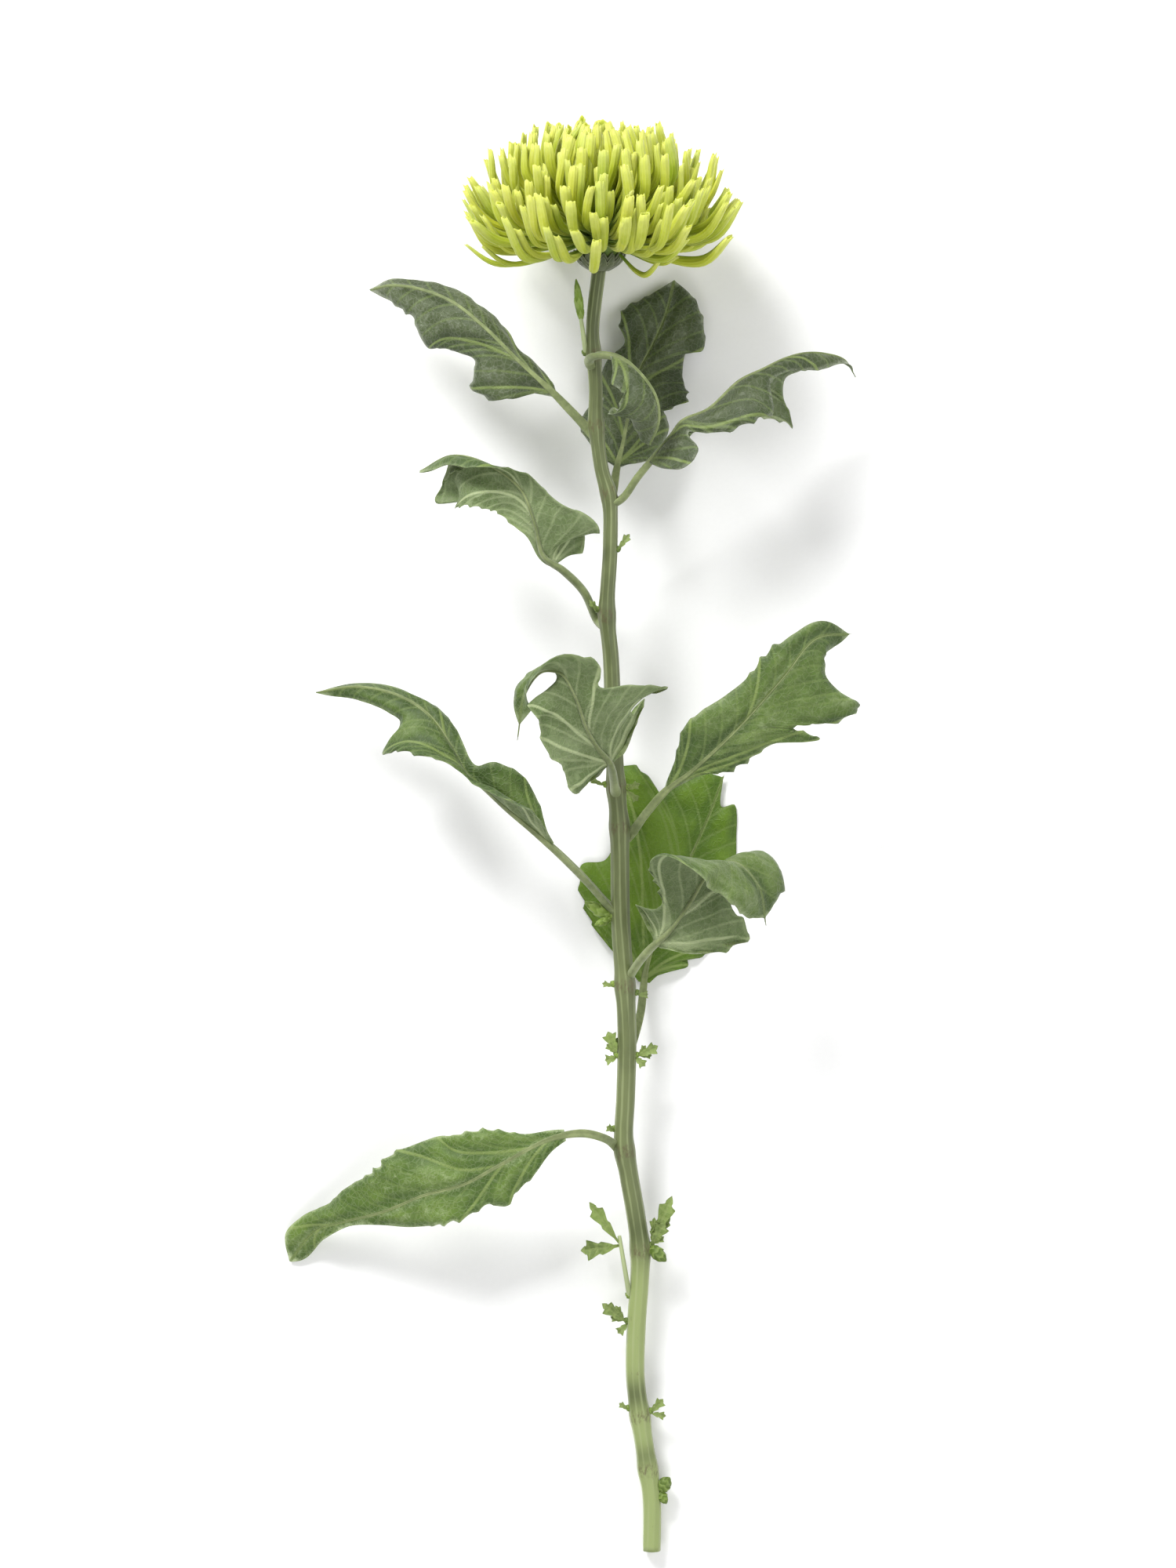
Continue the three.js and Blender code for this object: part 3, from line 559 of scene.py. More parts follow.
# ---------- materials ----------
def leaf_green(name, dark, mid, felt_and_highlight_colour, under, felt_and_highlight, sheen):
    """Leaf skin: veined green above with a felted bloom and a painted highlight on its crests, paler below.
    """
    r = Recipe(name)
    vein = r.mark("vein")
    small_vein = r.mark("small_vein")
    rib = r.mark("rib")
    margin = r.mark("margin")
    crest = r.mark("crest")
    upper = r.mark("upper")
    flat = r.join(r.mark("station"), r.mark("width"), 0.0)
    blotch = r.noise(50.0, 4.0)
    fine = r.noise(420.0, 4.0, 0.7)
    hairs = r.noise(1700.0, 2.0, 0.6)
    net = r.step(r.net(flat, 0.55), 0.0, 0.12)
    near_vein = 1 - r.step(vein, 0.2, 0.75)
    near_small = 1 - r.step(small_vein, 0.15, 0.65)
    by_rib = (1 - r.step(rib, 0.6, 3.0)) * r.step(rib, 0.2, 0.7)
    near_rib = 1 - r.step(rib, 0.25, 0.8)
    near_edge = 1 - r.step(margin, 0.1, 1.8)
    # painted highlight: the crests of the relief lift the green from dark towards mid
    above = r.mix(r.step(blotch + crest * 0.2, 0.42, 0.72), dark, mid)
    # own felt at the margins, by the rib and in noise; on the crests the felt colour is a painted highlight
    felt_and_crest_highlight = near_edge * 0.7 + by_rib * 0.5 + crest * 0.5 + (fine - 0.5) * 1.2 + (hairs - 0.5) * 0.6
    above = r.mix(r.step(felt_and_crest_highlight + (blotch - 0.5), 0.3, 1.25) * felt_and_highlight, above, felt_and_highlight_colour)
    above = r.mix((1 - net) * 0.12, above, felt_and_highlight_colour)
    above = r.mix(near_small * 0.32, above, (0.20, 0.27, 0.08))
    above = r.mix(near_vein * 0.5, above, (0.24, 0.31, 0.09))
    above = r.mix(near_rib * 0.5, above, (0.22, 0.28, 0.09))
    below = r.mix(r.step(blotch + (fine - 0.5) * 0.6, 0.3, 0.8) * 0.42, under, felt_and_highlight_colour)
    below = r.mix((1 - net) * 0.2, below, felt_and_highlight_colour)
    below = r.mix(near_small * 0.4, below, (0.34, 0.40, 0.21))
    below = r.mix(near_vein * 0.7, below, (0.40, 0.46, 0.25))
    below = r.mix(near_edge * 0.3, below, felt_and_highlight_colour)
    colour = r.mix(upper, below, above)
    height = fine * 0.7 + hairs * 0.5 + net * 0.5 + r.step(vein, 0.0, 0.6) * 0.5
    return r.finish(
        Base_Color=colour,
        Roughness=0.46 + fine * 0.22,
        Normal=r.bump(height, 0.00022, 0.75),
        Subsurface_Weight=0.1,
        Subsurface_Radius=(0.6, 0.9, 0.25),
        Subsurface_Scale=0.001,
        Sheen_Weight=sheen,
        Sheen_Roughness=0.4,
        Sheen_Tint=(0.86, 0.92, 0.78, 1.0),
        Specular_IOR_Level=0.4,
    )


def stalk_green(name, ground, light):
    """Ribs, leaf stalks and young stalks: pale green with fine lengthwise streaks."""
    r = Recipe(name)
    streaks = r.noise(260.0, 4.0, 0.65)
    blotch = r.noise(60.0, 3.0)
    hairs = r.noise(1900.0, 2.0)
    share = r.step(streaks, 0.35, 0.7) * 0.6 + r.step(blotch, 0.35, 0.7) * 0.4
    colour = r.mix(share, ground, light)
    return r.finish(
        Base_Color=colour,
        Roughness=0.5 + streaks * 0.15,
        Normal=r.bump(streaks * 0.7 + hairs * 0.4, 0.00025, 0.6),
        Subsurface_Weight=0.15,
        Subsurface_Radius=(0.6, 0.9, 0.3),
        Subsurface_Scale=0.0015,
        Sheen_Weight=0.25,
        Sheen_Roughness=0.5,
    )


def stem_skin():
    """Ridged stem: grey green with light ridges, brown flecks at the nodes and a pale foot."""
    r = Recipe("stem skin")
    height = r.mark("height")
    ridge = r.mark("ridge")
    node = r.mark("node")
    band = r.mark("band")
    cut = r.mark("cut")
    streaks = r.noise(300.0, 4.0, 0.6, (1.0, 0.06, 1.0))
    flecks = r.noise(900.0, 3.0, 0.7, (1.0, 0.35, 1.0))
    blotch = r.noise(30.0, 4.0)
    ground = r.mix(r.step(blotch + streaks * 0.5, 0.55, 0.95), (0.085, 0.105, 0.036), (0.145, 0.175, 0.065))
    foot = 1 - r.step(height + (streaks - 0.5) * 20, 90.0, 125.0)
    ground = r.mix(foot * 0.85, ground, (0.31, 0.38, 0.14))
    ground = r.mix(band * 0.85, ground, (0.075, 0.095, 0.03))
    colour = r.mix(r.step(ridge + (streaks - 0.5) * 2.4, 0.3, 1.2) * 0.42, ground, (0.34, 0.39, 0.19))
    brown = r.step(node + flecks * 1.1, 1.15, 1.6) * r.step(flecks, 0.42, 0.62)
    colour = r.mix(brown * 0.65, colour, (0.10, 0.075, 0.035))
    specks = r.step(flecks, 0.66, 0.72)
    colour = r.mix(specks * 0.35, colour, (0.13, 0.11, 0.05))
    pith = r.mix(r.step(cut, 0.35, 0.8), (0.16, 0.2, 0.07), (0.62, 0.66, 0.42))
    colour = r.mix(r.step(cut, 0.05, 0.3), colour, pith)
    bumps = streaks * 0.9 + flecks * 0.4
    return r.finish(
        Base_Color=colour,
        Roughness=0.45 + streaks * 0.2,
        Normal=r.bump(bumps, 0.0003, 0.6),
        Subsurface_Weight=0.1,
        Subsurface_Radius=(0.6, 0.8, 0.3),
        Subsurface_Scale=0.0015,
        Sheen_Weight=0.5,
        Sheen_Roughness=0.35,
        Sheen_Tint=(0.9, 0.95, 0.75, 1.0),
    )


def floret_yellow():
    """Quilled florets: deep green foot, lime tube, creamy tip, fine lengthwise ridges."""
    r = Recipe("floret yellow")
    reach = r.mark("reach")
    around = r.mark("around")
    tint = r.mark("tint")
    inner = r.mark("inner")
    mottle = r.noise(500.0, 3.0)
    soft = r.noise(120.0, 3.0)
    ridge = r.node("ShaderNodeMath", {"operation": "COSINE"}, {0: around * 9.0})
    body = r.mix(tint, (0.30, 0.41, 0.016), (0.52, 0.55, 0.030))
    body = r.mix(r.step(soft, 0.35, 0.7) * 0.3, body, (0.56, 0.60, 0.07))
    foot = 1 - r.step(reach + (soft - 0.5) * 0.2, 0.15, 0.62)
    body = r.mix(foot * 0.92, body, (0.10, 0.21, 0.005))
    tip = r.step(reach + (mottle - 0.5) * 0.15, 0.80, 1.0)
    body = r.mix(tip * 0.45, body, (0.72, 0.75, 0.24))
    body = r.mix(r.step(ridge, 0.3, 1.0) * 0.16, body, (0.72, 0.75, 0.20))
    body = r.mix(inner * 0.5, body, (0.46, 0.55, 0.04))
    height = ridge * 0.5 + mottle * 0.25
    return r.finish(
        Base_Color=body,
        Roughness=0.42 + mottle * 0.15,
        Normal=r.bump(height, 0.00016, 0.7),
        Subsurface_Weight=0.35,
        Subsurface_Radius=(0.9, 0.85, 0.12),
        Subsurface_Scale=0.003,
        Sheen_Weight=0.1,
        Specular_IOR_Level=0.4,
    )


def bract_green():
    """Scales under the bloom: grey green with pale papery margins."""
    r = Recipe("bract green")
    margin = r.mark("margin")
    fine = r.noise(500.0, 4.0, 0.65)
    blotch = r.noise(90.0, 3.0)
    ground = r.mix(r.step(blotch, 0.35, 0.7), (0.06, 0.08, 0.03), (0.12, 0.14, 0.06))
    colour = r.mix((1 - r.step(margin, 0.05, 0.5)) * 0.5, ground, (0.26, 0.28, 0.16))
    return r.finish(
        Base_Color=colour,
        Roughness=0.6 + fine * 0.2,
        Normal=r.bump(fine, 0.0003, 0.7),
        Sheen_Weight=0.4,
        Sheen_Roughness=0.4,
    )


UPPER_LEAF = leaf_green(
    "felted leaf",
    dark=(0.036, 0.054, 0.015),
    mid=(0.060, 0.083, 0.028),
    felt_and_highlight_colour=(0.34, 0.37, 0.28),
    under=(0.10, 0.135, 0.05),
    felt_and_highlight=0.68,
    sheen=0.22,
)
LOWER_LEAF = leaf_green(
    "green leaf",
    dark=(0.042, 0.078, 0.012),
    mid=(0.085, 0.140, 0.022),
    felt_and_highlight_colour=(0.33, 0.39, 0.21),
    under=(0.095, 0.140, 0.042),
    felt_and_highlight=0.62,
    sheen=0.15,
)
# leaf 11: lighter greens and stronger felt, partly its silvery felt, partly painted sheen and painted light
# through the blade
SILVER_FELT_AND_PAINTED_SHEEN_LEAF = leaf_green(
    "silvery felt leaf with painted sheen",
    dark=(0.055, 0.105, 0.012),
    mid=(0.110, 0.180, 0.026),
    felt_and_highlight_colour=(0.46, 0.54, 0.30),
    under=(0.12, 0.18, 0.05),
    felt_and_highlight=0.85,
    sheen=0.2,
)
FRESH_LEAF = leaf_green(
    "fresh leaf",
    dark=(0.055, 0.115, 0.002),
    mid=(0.100, 0.185, 0.005),
    felt_and_highlight_colour=(0.20, 0.30, 0.06),
    under=(0.14, 0.21, 0.03),
    felt_and_highlight=0.2,
    sheen=0.05,
)
YOUNG_LEAF = leaf_green(
    "young leaf",
    dark=(0.075, 0.125, 0.014),
    mid=(0.18, 0.28, 0.03),
    felt_and_highlight_colour=(0.36, 0.45, 0.15),
    under=(0.22, 0.30, 0.08),
    felt_and_highlight=0.4,
    sheen=0.1,
)
RIB_GREEN = stalk_green("rib green", (0.13, 0.165, 0.055), (0.27, 0.32, 0.13))
RECEPTACLE_GREEN = stalk_green("receptacle green", (0.10, 0.17, 0.02), (0.24, 0.33, 0.05))
STEM_SKIN = stem_skin()
FLORET_YELLOW = floret_yellow()
BRACT_GREEN = bract_green()


# ---------- stem ----------
STEM_STEPS = 260
STEM_SIDES = 72
STEM_RIDGES = 9
NODE_SWELLING = 0.55
NODE_SPREAD = 4.0
DARK_BANDS = [[56, 6, 1], [114, 8, 1], [34, 4, 0.7]]  # height, spread and strength of each
stem_path = Path([[x, y, CUT_RADIUS + STEM_RISE * y] for x, y in STEM_PATH])


def stem_point(y):
    path = np.array(STEM_PATH, float)
    return np.array([np.interp(y, path[:, 1], path[:, 0]), y, CUT_RADIUS + STEM_RISE * y])


def stem_radius(y):
    """Radius at a height, and how much of it is a node's swelling."""
    swelling = np.max([np.exp(-(((y - node) / NODE_SPREAD) ** 2)) for node in NODE_HEIGHTS], axis=0)
    return along(STEM_RADII, y) + NODE_SWELLING * swelling, swelling


def build_stem():
    skin = Skin("height", "ridge", "node", "band", "cut")
    stations = np.linspace(0, stem_path.length, STEM_STEPS)
    centres = stem_path.at(stations)
    ahead = stem_path.heading(stations)
    ahead[0] = ahead[-1] = unit(np.array([0, 1, STEM_RISE]))
    across = unit(np.cross(ahead, [0, 0, 1]))
    upward = np.cross(across, ahead)
    radius, node = stem_radius(centres[:, 1])
    angle = np.linspace(0, 2 * math.pi, STEM_SIDES, endpoint=False)[None, :]
    y = centres[:, 1][:, None]
    twist = 0.25 * np.sin(y / 61.0)
    ridge = np.cos(STEM_RIDGES * (angle + twist) + 0.5 * np.sin(y / 23.0))
    strength = 0.035 + 0.015 * np.sin(y / 37.0)
    lean = 0.03 * np.sin(2 * angle + y / 30.0) + 0.012 * np.sin(y / 5.0 + 3 * angle)
    out = radius[:, None] * (1 - strength * (1 - ridge) / 2 + lean * 0.6)
    rings = centres[:, None] + out[..., None] * (
        np.cos(angle)[..., None] * across[:, None] + np.sin(angle)[..., None] * upward[:, None]
    )
    rings[..., 2] = np.maximum(rings[..., 2], 0.02)
    band = sum(strong * np.exp(-(((y - height) / reach) ** 2)) for height, reach, strong in DARK_BANDS)
    dark = np.clip(band, 0, 1) + 0 * angle
    swollen = node[:, None] + 0 * angle
    skin.add_tube(rings, height=y + 0 * angle, ridge=ridge, node=swollen, band=dark)
    # the cut face, with its rim, woody ring and sunken pith
    rim = rings[0]
    middle = rim.mean(0)
    face = []
    for share, depth in ((1.0, 0.0), (0.93, -0.12), (0.8, -0.05), (0.62, 0.1), (0.3, 0.45), (0.1, 0.6)):
        face.append(middle + (rim - middle) * share + ahead[0] * depth)
    face = np.array(face)[:, ::-1]
    shares = np.array([0.0, 0.15, 0.5, 0.75, 0.95, 1.0])[:, None]
    skin.add_tube(face - ahead[0] * 0.05, cut=shares + 0 * angle, height=0 * shares + 0 * angle)
    return skin.piece("stem_ridged", STEM_SKIN, "stem", "stem")


# ---------- leaves ----------
LEAF_MARKS = ("vein", "small_vein", "rib", "margin", "crest", "upper", "station", "width")
BLADE_THICKNESS = 0.42
COLUMNS = 22
EDGE_STEP = 0.75  # distance between rows along a margin
QUILT = 0.55  # how far the blade stands up between its side veins
RUFFLE = 0.9  # waviness of the margin
MARGIN_ROLL = 0.9  # how far the margin turns down
TOOTH_HEIGHT = 1.7
TOOTH_SPACING = (5.5, 7.0)
RIB_STEPS = 96
RIB_SIDES = 20
STALK_HALF_WIDTH = 1.45
STALK_DEPTH = 2.2


def blade_points(leaf, side, station, width, lift):
    """Points of a blade half: along the rib, out from it, and up from its middle layer."""
    rib = leaf["path"]
    total = station + leaf["stalk"]
    middle = rib.at(total)
    ahead = rib.heading(total)
    up = spread(leaf["face"], total / rib.length)
    up = unit(up - ahead * np.sum(up * ahead, -1, keepdims=True))
    left = np.cross(up, ahead)
    share = np.clip(station / (rib.length - leaf["stalk"]), 0, 1)
    fold = np.radians(spread(leaf[side]["fold"], share))
    bend = np.radians(spread(leaf[side]["curl"], share)) / CURL_WIDTH
    bend = np.where(np.abs(bend) < 1e-5, 1e-5, bend)
    end = fold + bend * width
    outward = (np.sin(end) - np.sin(fold)) / bend - lift * np.sin(end)
    raised = (np.cos(fold) - np.cos(end)) / bend + lift * np.cos(end)
    sign = 1 if side == "left" else -1
    points = middle + sign * outward[..., None] * left + raised[..., None] * up
    points[..., 2] = soft_floor(points[..., 2], SURFACE_GAP, 0.6)
    return points


def even_steps(points, step):
    """The same line with points a set distance apart."""
    lengths = np.linalg.norm(np.diff(points, axis=0), axis=1)
    stations = np.concatenate([[0], np.cumsum(lengths)])
    wanted = np.linspace(0, stations[-1], max(int(stations[-1] / step), 12))
    return np.stack([np.interp(wanted, stations, column) for column in points.T], -1), wanted


def toothed_edge(leaf, side, random):
    """Margin of a blade half with small pointed teeth, and the rib station each of its points hangs from."""
    tip = leaf["path"].length - leaf["stalk"]
    line, travelled = even_steps(smooth_path([[s, v, 0] for s, v in leaf[side]["edge"]])[:, :2], EDGE_STEP)
    ahead = unit(np.gradient(line, axis=0))
    outward = np.stack([-ahead[:, 1], ahead[:, 0]], -1)
    outward *= np.sign(np.sum(outward * [0, 1], -1).mean() or 1)
    lobe_out = fade(line[:, 1], 4, 9) * fade(travelled[-1] - travelled, 2, 8) * fade(travelled, 3, 10)
    spacing = random.uniform(*TOOTH_SPACING)
    phase = (travelled / spacing + random.uniform()) % 1
    tooth = np.where(phase < 0.75, (phase / 0.75) ** 2.2, (1 - phase) / 0.25)
    slow = np.sin(travelled / 9.0 + random.uniform(0, 6))
    quick = 0.8 * np.sin(travelled / 5.3 + random.uniform(0, 6))
    height = TOOTH_HEIGHT * lobe_out * np.clip(0.3 + 0.5 * (slow + quick), 0, 1)
    line = line + outward * (tooth * height)[:, None]
    line[:, 1] = np.maximum(line[:, 1], 0.05)
    raw = np.clip(line[:, 0] - VEIN_SLANT * line[:, 1], min(leaf[side]["edge"][0][0], 0), tip)
    forward = np.maximum.accumulate(raw)
    backward = np.minimum.accumulate(raw[::-1])[::-1]
    feet = (forward + backward) / 2
    feet = np.convolve(np.pad(feet, 3, mode="edge"), np.ones(7) / 7, mode="valid")
    feet = np.clip(feet, 0, tip)
    feet[0] = 0
    feet[-1] = tip
    return line, np.maximum.accumulate(feet)


def side_veins(line, tip):
    """Side veins of a blade half: they leave the rib at a small angle and bend out to the lobes."""
    out = line[:, 1]
    ends = []
    for i in range(4, len(out) - 8):
        nearby = out[max(i - 8, 0): i + 9]
        if out[i] >= nearby.max() and out[i] > 4 and (not ends or i - ends[-1] > 6):
            ends.append(i)
    strong = [(line[i], 1.0) for i in ends]
    marks = [0, *ends, len(out) - 4]
    for a, b in zip(marks, marks[1:]):
        for k in range(1, (b - a) // 9 + 1):
            i = a + k * (b - a) // ((b - a) // 9 + 1)
            if out[i] > 3:
                strong.append((line[i], 0.45))
    veins = []
    for end, weight in strong:
        foot = max(end[0] - (1.75 if weight == 1 else 1.2) * end[1], 1.0)
        foot = min(foot, tip - 3)
        t = np.linspace(0, 1, 9)[:, None]
        knee = np.array([foot + 0.62 * (end[0] - foot), 0.36 * end[1]])
        curve = (1 - t) ** 2 * np.array([foot, 0.0]) + 2 * t * (1 - t) * knee + t**2 * end
        veins.append((curve, weight))
    return veins


def distance_to_veins(veins, station, width):
    """Distance in the flat blade from the nearest strong side vein and from the nearest of any strength."""
    nearest = {True: np.full(station.shape, 30.0), False: np.full(station.shape, 30.0)}
    for curve, weight in veins:
        for a, b in zip(curve, curve[1:]):
            reach = b - a
            size = max(reach @ reach, 1e-6)
            t = np.clip(((station - a[0]) * reach[0] + (width - a[1]) * reach[1]) / size, 0, 1)
            gap = np.hypot(station - a[0] - t * reach[0], width - a[1] - t * reach[1])
            nearest[False] = np.minimum(nearest[False], gap)
            if weight == 1:
                nearest[True] = np.minimum(nearest[True], gap)
    return nearest[True], nearest[False]


def build_blade(skin, leaf, side, random):
    """One half of a blade, upper and lower surface joined round the margin."""
    line, feet = toothed_edge(leaf, side, random)
    shares = np.linspace(0, 1, COLUMNS) ** 0.9
    station = feet[:, None] + (line[:, 0] - feet)[:, None] * shares
    width = line[:, 1][:, None] * shares
    main_gap, gap = distance_to_veins(side_veins(line, feet[-1]), station, width)
    margin = line[:, 1][:, None] * (1 - shares)
    body = fade(margin, 0, 4) * fade(width, 0.3, 3.5)
    beside_rib = np.minimum(width, main_gap)
    pillow = (1 - np.exp(-((beside_rib / 3.4) ** 2))) * 1.5 + (1 - np.exp(-((gap / 1.5) ** 2))) * 0.45
    quilt = QUILT * pillow * body
    wave_at = random.uniform(0, 6)
    wave = np.sin(line[:, 0] / 6.3 + line[:, 1] / 7.0 + wave_at)[:, None]
    ruffle = RUFFLE * shares**2 * wave
    crumple = 0.4 * np.sin(station / 3.1 + width / 2.3 + wave_at) * np.sin(station / 4.7 - width / 2.9) * body
    swell = 0.8 * np.sin(station / 8.5 + wave_at * 2) * np.sin(width / 6.0 + wave_at) * body
    roll = -MARGIN_ROLL * fade(2.4 - margin, 0, 2.4) ** 2 * fade(line[:, 1], 2, 6)[:, None]
    middle = quilt + (ruffle + crumple + swell + roll) * fade(line[:, 1], 1, 6)[:, None]
    thick = BLADE_THICKNESS / 2 * (1 - 0.55 * shares)
    rows = len(line)
    upper = blade_points(leaf, side, station, width, middle + thick)
    under = blade_points(leaf, side, station, width, middle - thick)
    left = side == "left"
    size = rows * COLUMNS
    faces = sheet_faces(rows, COLUMNS, 0, not left).tolist()
    faces += sheet_faces(rows, COLUMNS, size, left).tolist()
    for i in range(rows - 1):
        for column, turn in ((COLUMNS - 1, left), (0, not left)):
            a = i * COLUMNS + column
            b = a + COLUMNS
            faces.append([a, a + size, b + size, b] if turn else [b, b + size, a + size, a])
    flags = np.concatenate([np.ones(size), np.zeros(size)])
    # crest: how high the blade's relief stands; the leaf colours paint a highlight on it
    crest = np.clip(quilt / QUILT / 1.9 + (ruffle + crumple + swell) * 0.35, 0, 1)
    skin.add(
        np.concatenate([upper.reshape(-1, 3), under.reshape(-1, 3)]),
        faces,
        vein=twice(main_gap),
        small_vein=twice(gap),
        rib=twice(width),
        margin=twice(margin),
        crest=twice(crest),
        upper=flags,
        station=twice(station),
        width=twice(width * (1 if left else -1) + 200),
    )


def build_rib(skin, leaf):
    """Stalk and midrib: channelled above, rounded below, thinning to the tip."""
    length = leaf["path"].length
    stalk = leaf["stalk"]
    start = np.array(leaf["rib"][0], float)
    inside = stem_point(start[1] - 2.5)
    rib = Path([inside, *leaf["rib"]])
    sunk = rib.length - length
    station = np.linspace(-sunk, length - 1.5, RIB_STEPS)
    share = np.clip((station - stalk) / (length - stalk), 0, 1)
    into_blade = fade(station, stalk - 8, stalk + 14)
    half_width = STALK_HALF_WIDTH + (0.62 * (1 - share) ** 0.8 + 0.16 - STALK_HALF_WIDTH) * into_blade
    half_width *= 1 + 0.5 * np.exp(-np.maximum(station + sunk - 2, 0) / 4.0)
    depth = STALK_DEPTH + (1.5 * (1 - share) ** 0.8 + 0.3 - STALK_DEPTH) * into_blade
    angle = np.linspace(0, 2 * math.pi, RIB_SIDES, endpoint=False)
    across = np.cos(angle)[None, :] * half_width[:, None]
    groove = 0.45 * np.exp(-((np.cos(angle) / 0.45) ** 2))
    top = np.sin(angle) * (0.42 - groove * 0.6)
    below = np.sin(angle) * depth[:, None]
    height = np.where(np.sin(angle)[None, :] > 0, top[None, :] * half_width[:, None] * 0.9, below)
    height = height + 0.12 * into_blade[:, None]
    middle = rib.at(station + sunk)
    ahead = rib.heading(station + sunk)
    up = spread(leaf["face"], np.clip(station / length, 0, 1))
    up = unit(up - ahead * np.sum(up * ahead, -1, keepdims=True))
    left = np.cross(up, ahead)
    rings = middle[:, None] + across[..., None] * left[:, None] + height[..., None] * up[:, None]
    rings[..., 2] = soft_floor(rings[..., 2], SURFACE_GAP, 0.4)
    skin.add_tube(rings[:, ::-1])


LEAF_FINISH = {
    1: UPPER_LEAF, 2: UPPER_LEAF, 3: UPPER_LEAF, 4: UPPER_LEAF, 5: LOWER_LEAF, 6: LOWER_LEAF, 7: LOWER_LEAF,
    8: LOWER_LEAF, 9: FRESH_LEAF, 10: LOWER_LEAF, 11: SILVER_FELT_AND_PAINTED_SHEEN_LEAF,
}


def build_leaves():
    for number, leaf in enumerate(LEAVES, 1):
        random = np.random.default_rng(100 + number)
        leaf["path"] = Path(leaf["rib"])
        skin = Skin(*LEAF_MARKS)
        build_blade(skin, leaf, "left", random)
        build_blade(skin, leaf, "right", random)
        skin.piece(f"leaf_blade_{number:02d}", LEAF_FINISH[number], "leaf", f"leaf_{number:02d}")
        rib = Skin()
        build_rib(rib, leaf)
        rib.piece(f"leaf_rib_{number:02d}", RIB_GREEN, "leaf", f"leaf_{number:02d}")


# ---------- shoots ----------
YOUNG_OUTLINE = [
    [0, 0.16], [0.2, 0.22], [0.36, 0.6], [0.44, 0.82], [0.5, 0.62], [0.6, 1.1], [0.68, 1.3],
    [0.74, 0.86], [0.8, 0.5], [0.87, 0.56], [0.94, 0.4], [1, 0.05],
]


def young_leaf(skin, start, end, half_width, thickness, random):
    """Small lobed leaf, folded along its midrib and arched."""
    reach = end - start
    length = np.linalg.norm(reach)
    ahead = reach / length
    across = unit(np.array([-reach[1], reach[0], 0.0]))
    up = unit(np.cross(reach, across))
    rows, columns = 44, 9
    t = np.linspace(0, 1, rows)[:, None]
    side = np.linspace(-1, 1, columns)[None, :]
    lobes = along(YOUNG_OUTLINE, t)
    out = half_width * lobes * side * 1.2
    ripple = np.sin(t * 9 + side * 2 + random.uniform(0, 6))
    fold = 0.35 * np.abs(out) + 0.1 * half_width * ripple * np.abs(side)
    arch = 0.12 * length * np.sin(math.pi * t)
    forward = 0.85 * np.abs(out) * fade(t, 0.25, 0.6) * (1 - fade(t, 0.8, 0.95))
    centre = start + t[..., None] * reach + arch[..., None] * up
    points = centre + out[..., None] * across + forward[..., None] * ahead
    thick = np.minimum(0.3, thickness * 0.5) * (1 - 0.5 * np.abs(side)) + 0 * t
    upper = points + (fold + thick)[..., None] * up
    under = points + (fold - thick - 0.35 * half_width * 0.6 * np.exp(-((side * 5) ** 2)))[..., None] * up
    size = rows * columns
    all_points = np.concatenate([upper.reshape(-1, 3), under.reshape(-1, 3)])
    all_points[:, 2] = soft_floor(all_points[:, 2], SURFACE_GAP, 0.4)
    gap = np.abs((t * length / 2.6 + np.abs(side) * 0.5) % 1 - 0.5) * 2.6 + 0 * side
    skin.add(
        all_points,
        closed_sheet_faces(rows, columns),
        vein=twice(gap),
        rib=twice(np.abs(out) + 0.1),
        margin=twice(half_width * (1 - np.abs(side)) + 0 * t),
        upper=np.concatenate([np.ones(size), np.zeros(size)]),
        station=twice(t * length + 0 * side),
        width=twice(out + 300),
    )


def young_stalk(skin, start, end, radius):
    reach = end - start
    t = np.linspace(0, 1, 24)[:, None]
    across = unit(np.array([-reach[1], reach[0], 0.0]))
    up = unit(np.cross(reach, across))
    centre = start + t * reach + 0.12 * np.linalg.norm(reach) * np.sin(math.pi * t) * up
    angle = np.linspace(0, 2 * math.pi, 14, endpoint=False)
    size = radius * (1.25 - 0.35 * t)
    ring = np.cos(angle)[:, None] * across + np.sin(angle)[:, None] * up
    rings = centre[:, None] + size[:, None] * ring[None] * (1 + 0.08 * np.cos(4 * angle))[None, :, None]
    skin.add_tube(rings, upper=0.0, vein=0.2, rib=0.6, margin=2.0)


def bud(skin, base, tip, radius, random):
    """Swollen bud of overlapping pointed scales, from its base to its tip."""
    reach = tip - base
    ahead = unit(reach)
    across = unit(np.array([-reach[1], reach[0], 0.01]))
    up = np.cross(ahead, across)
    u = np.linspace(0.03, 0.985, 54)[:, None]
    w = np.linspace(0, 1, 60, endpoint=False)[None, :]
    swell = np.sin(math.pi * u**0.85) ** 0.7
    row_shape = np.abs((w * 5 + random.uniform()) % 1 - 0.5)
    scale = u * 3.4 + row_shape * 0.9
    ramp = scale % 1
    turned = np.abs((w * 5 + 0.5 * np.floor(scale)) % 1 - 0.5)
    out = radius * swell * (0.88 + 0.2 * ramp * (1 - turned))
    angle = w * 2 * math.pi
    middle = base + u[..., None] * reach
    rings = middle + (out * np.cos(angle))[..., None] * across + (out * np.sin(angle))[..., None] * up
    rings[..., 2] = soft_floor(rings[..., 2], SURFACE_GAP, 0.4)
    skin.add_tube(
        rings,
        upper=1.0,
        vein=5.0,
        small_vein=turned * 3,
        rib=3.0,
        margin=(1 - ramp) * 1.6,
        # the raised scale tips get a painted highlight through the crest mark
        crest=ramp * 0.5,
    )


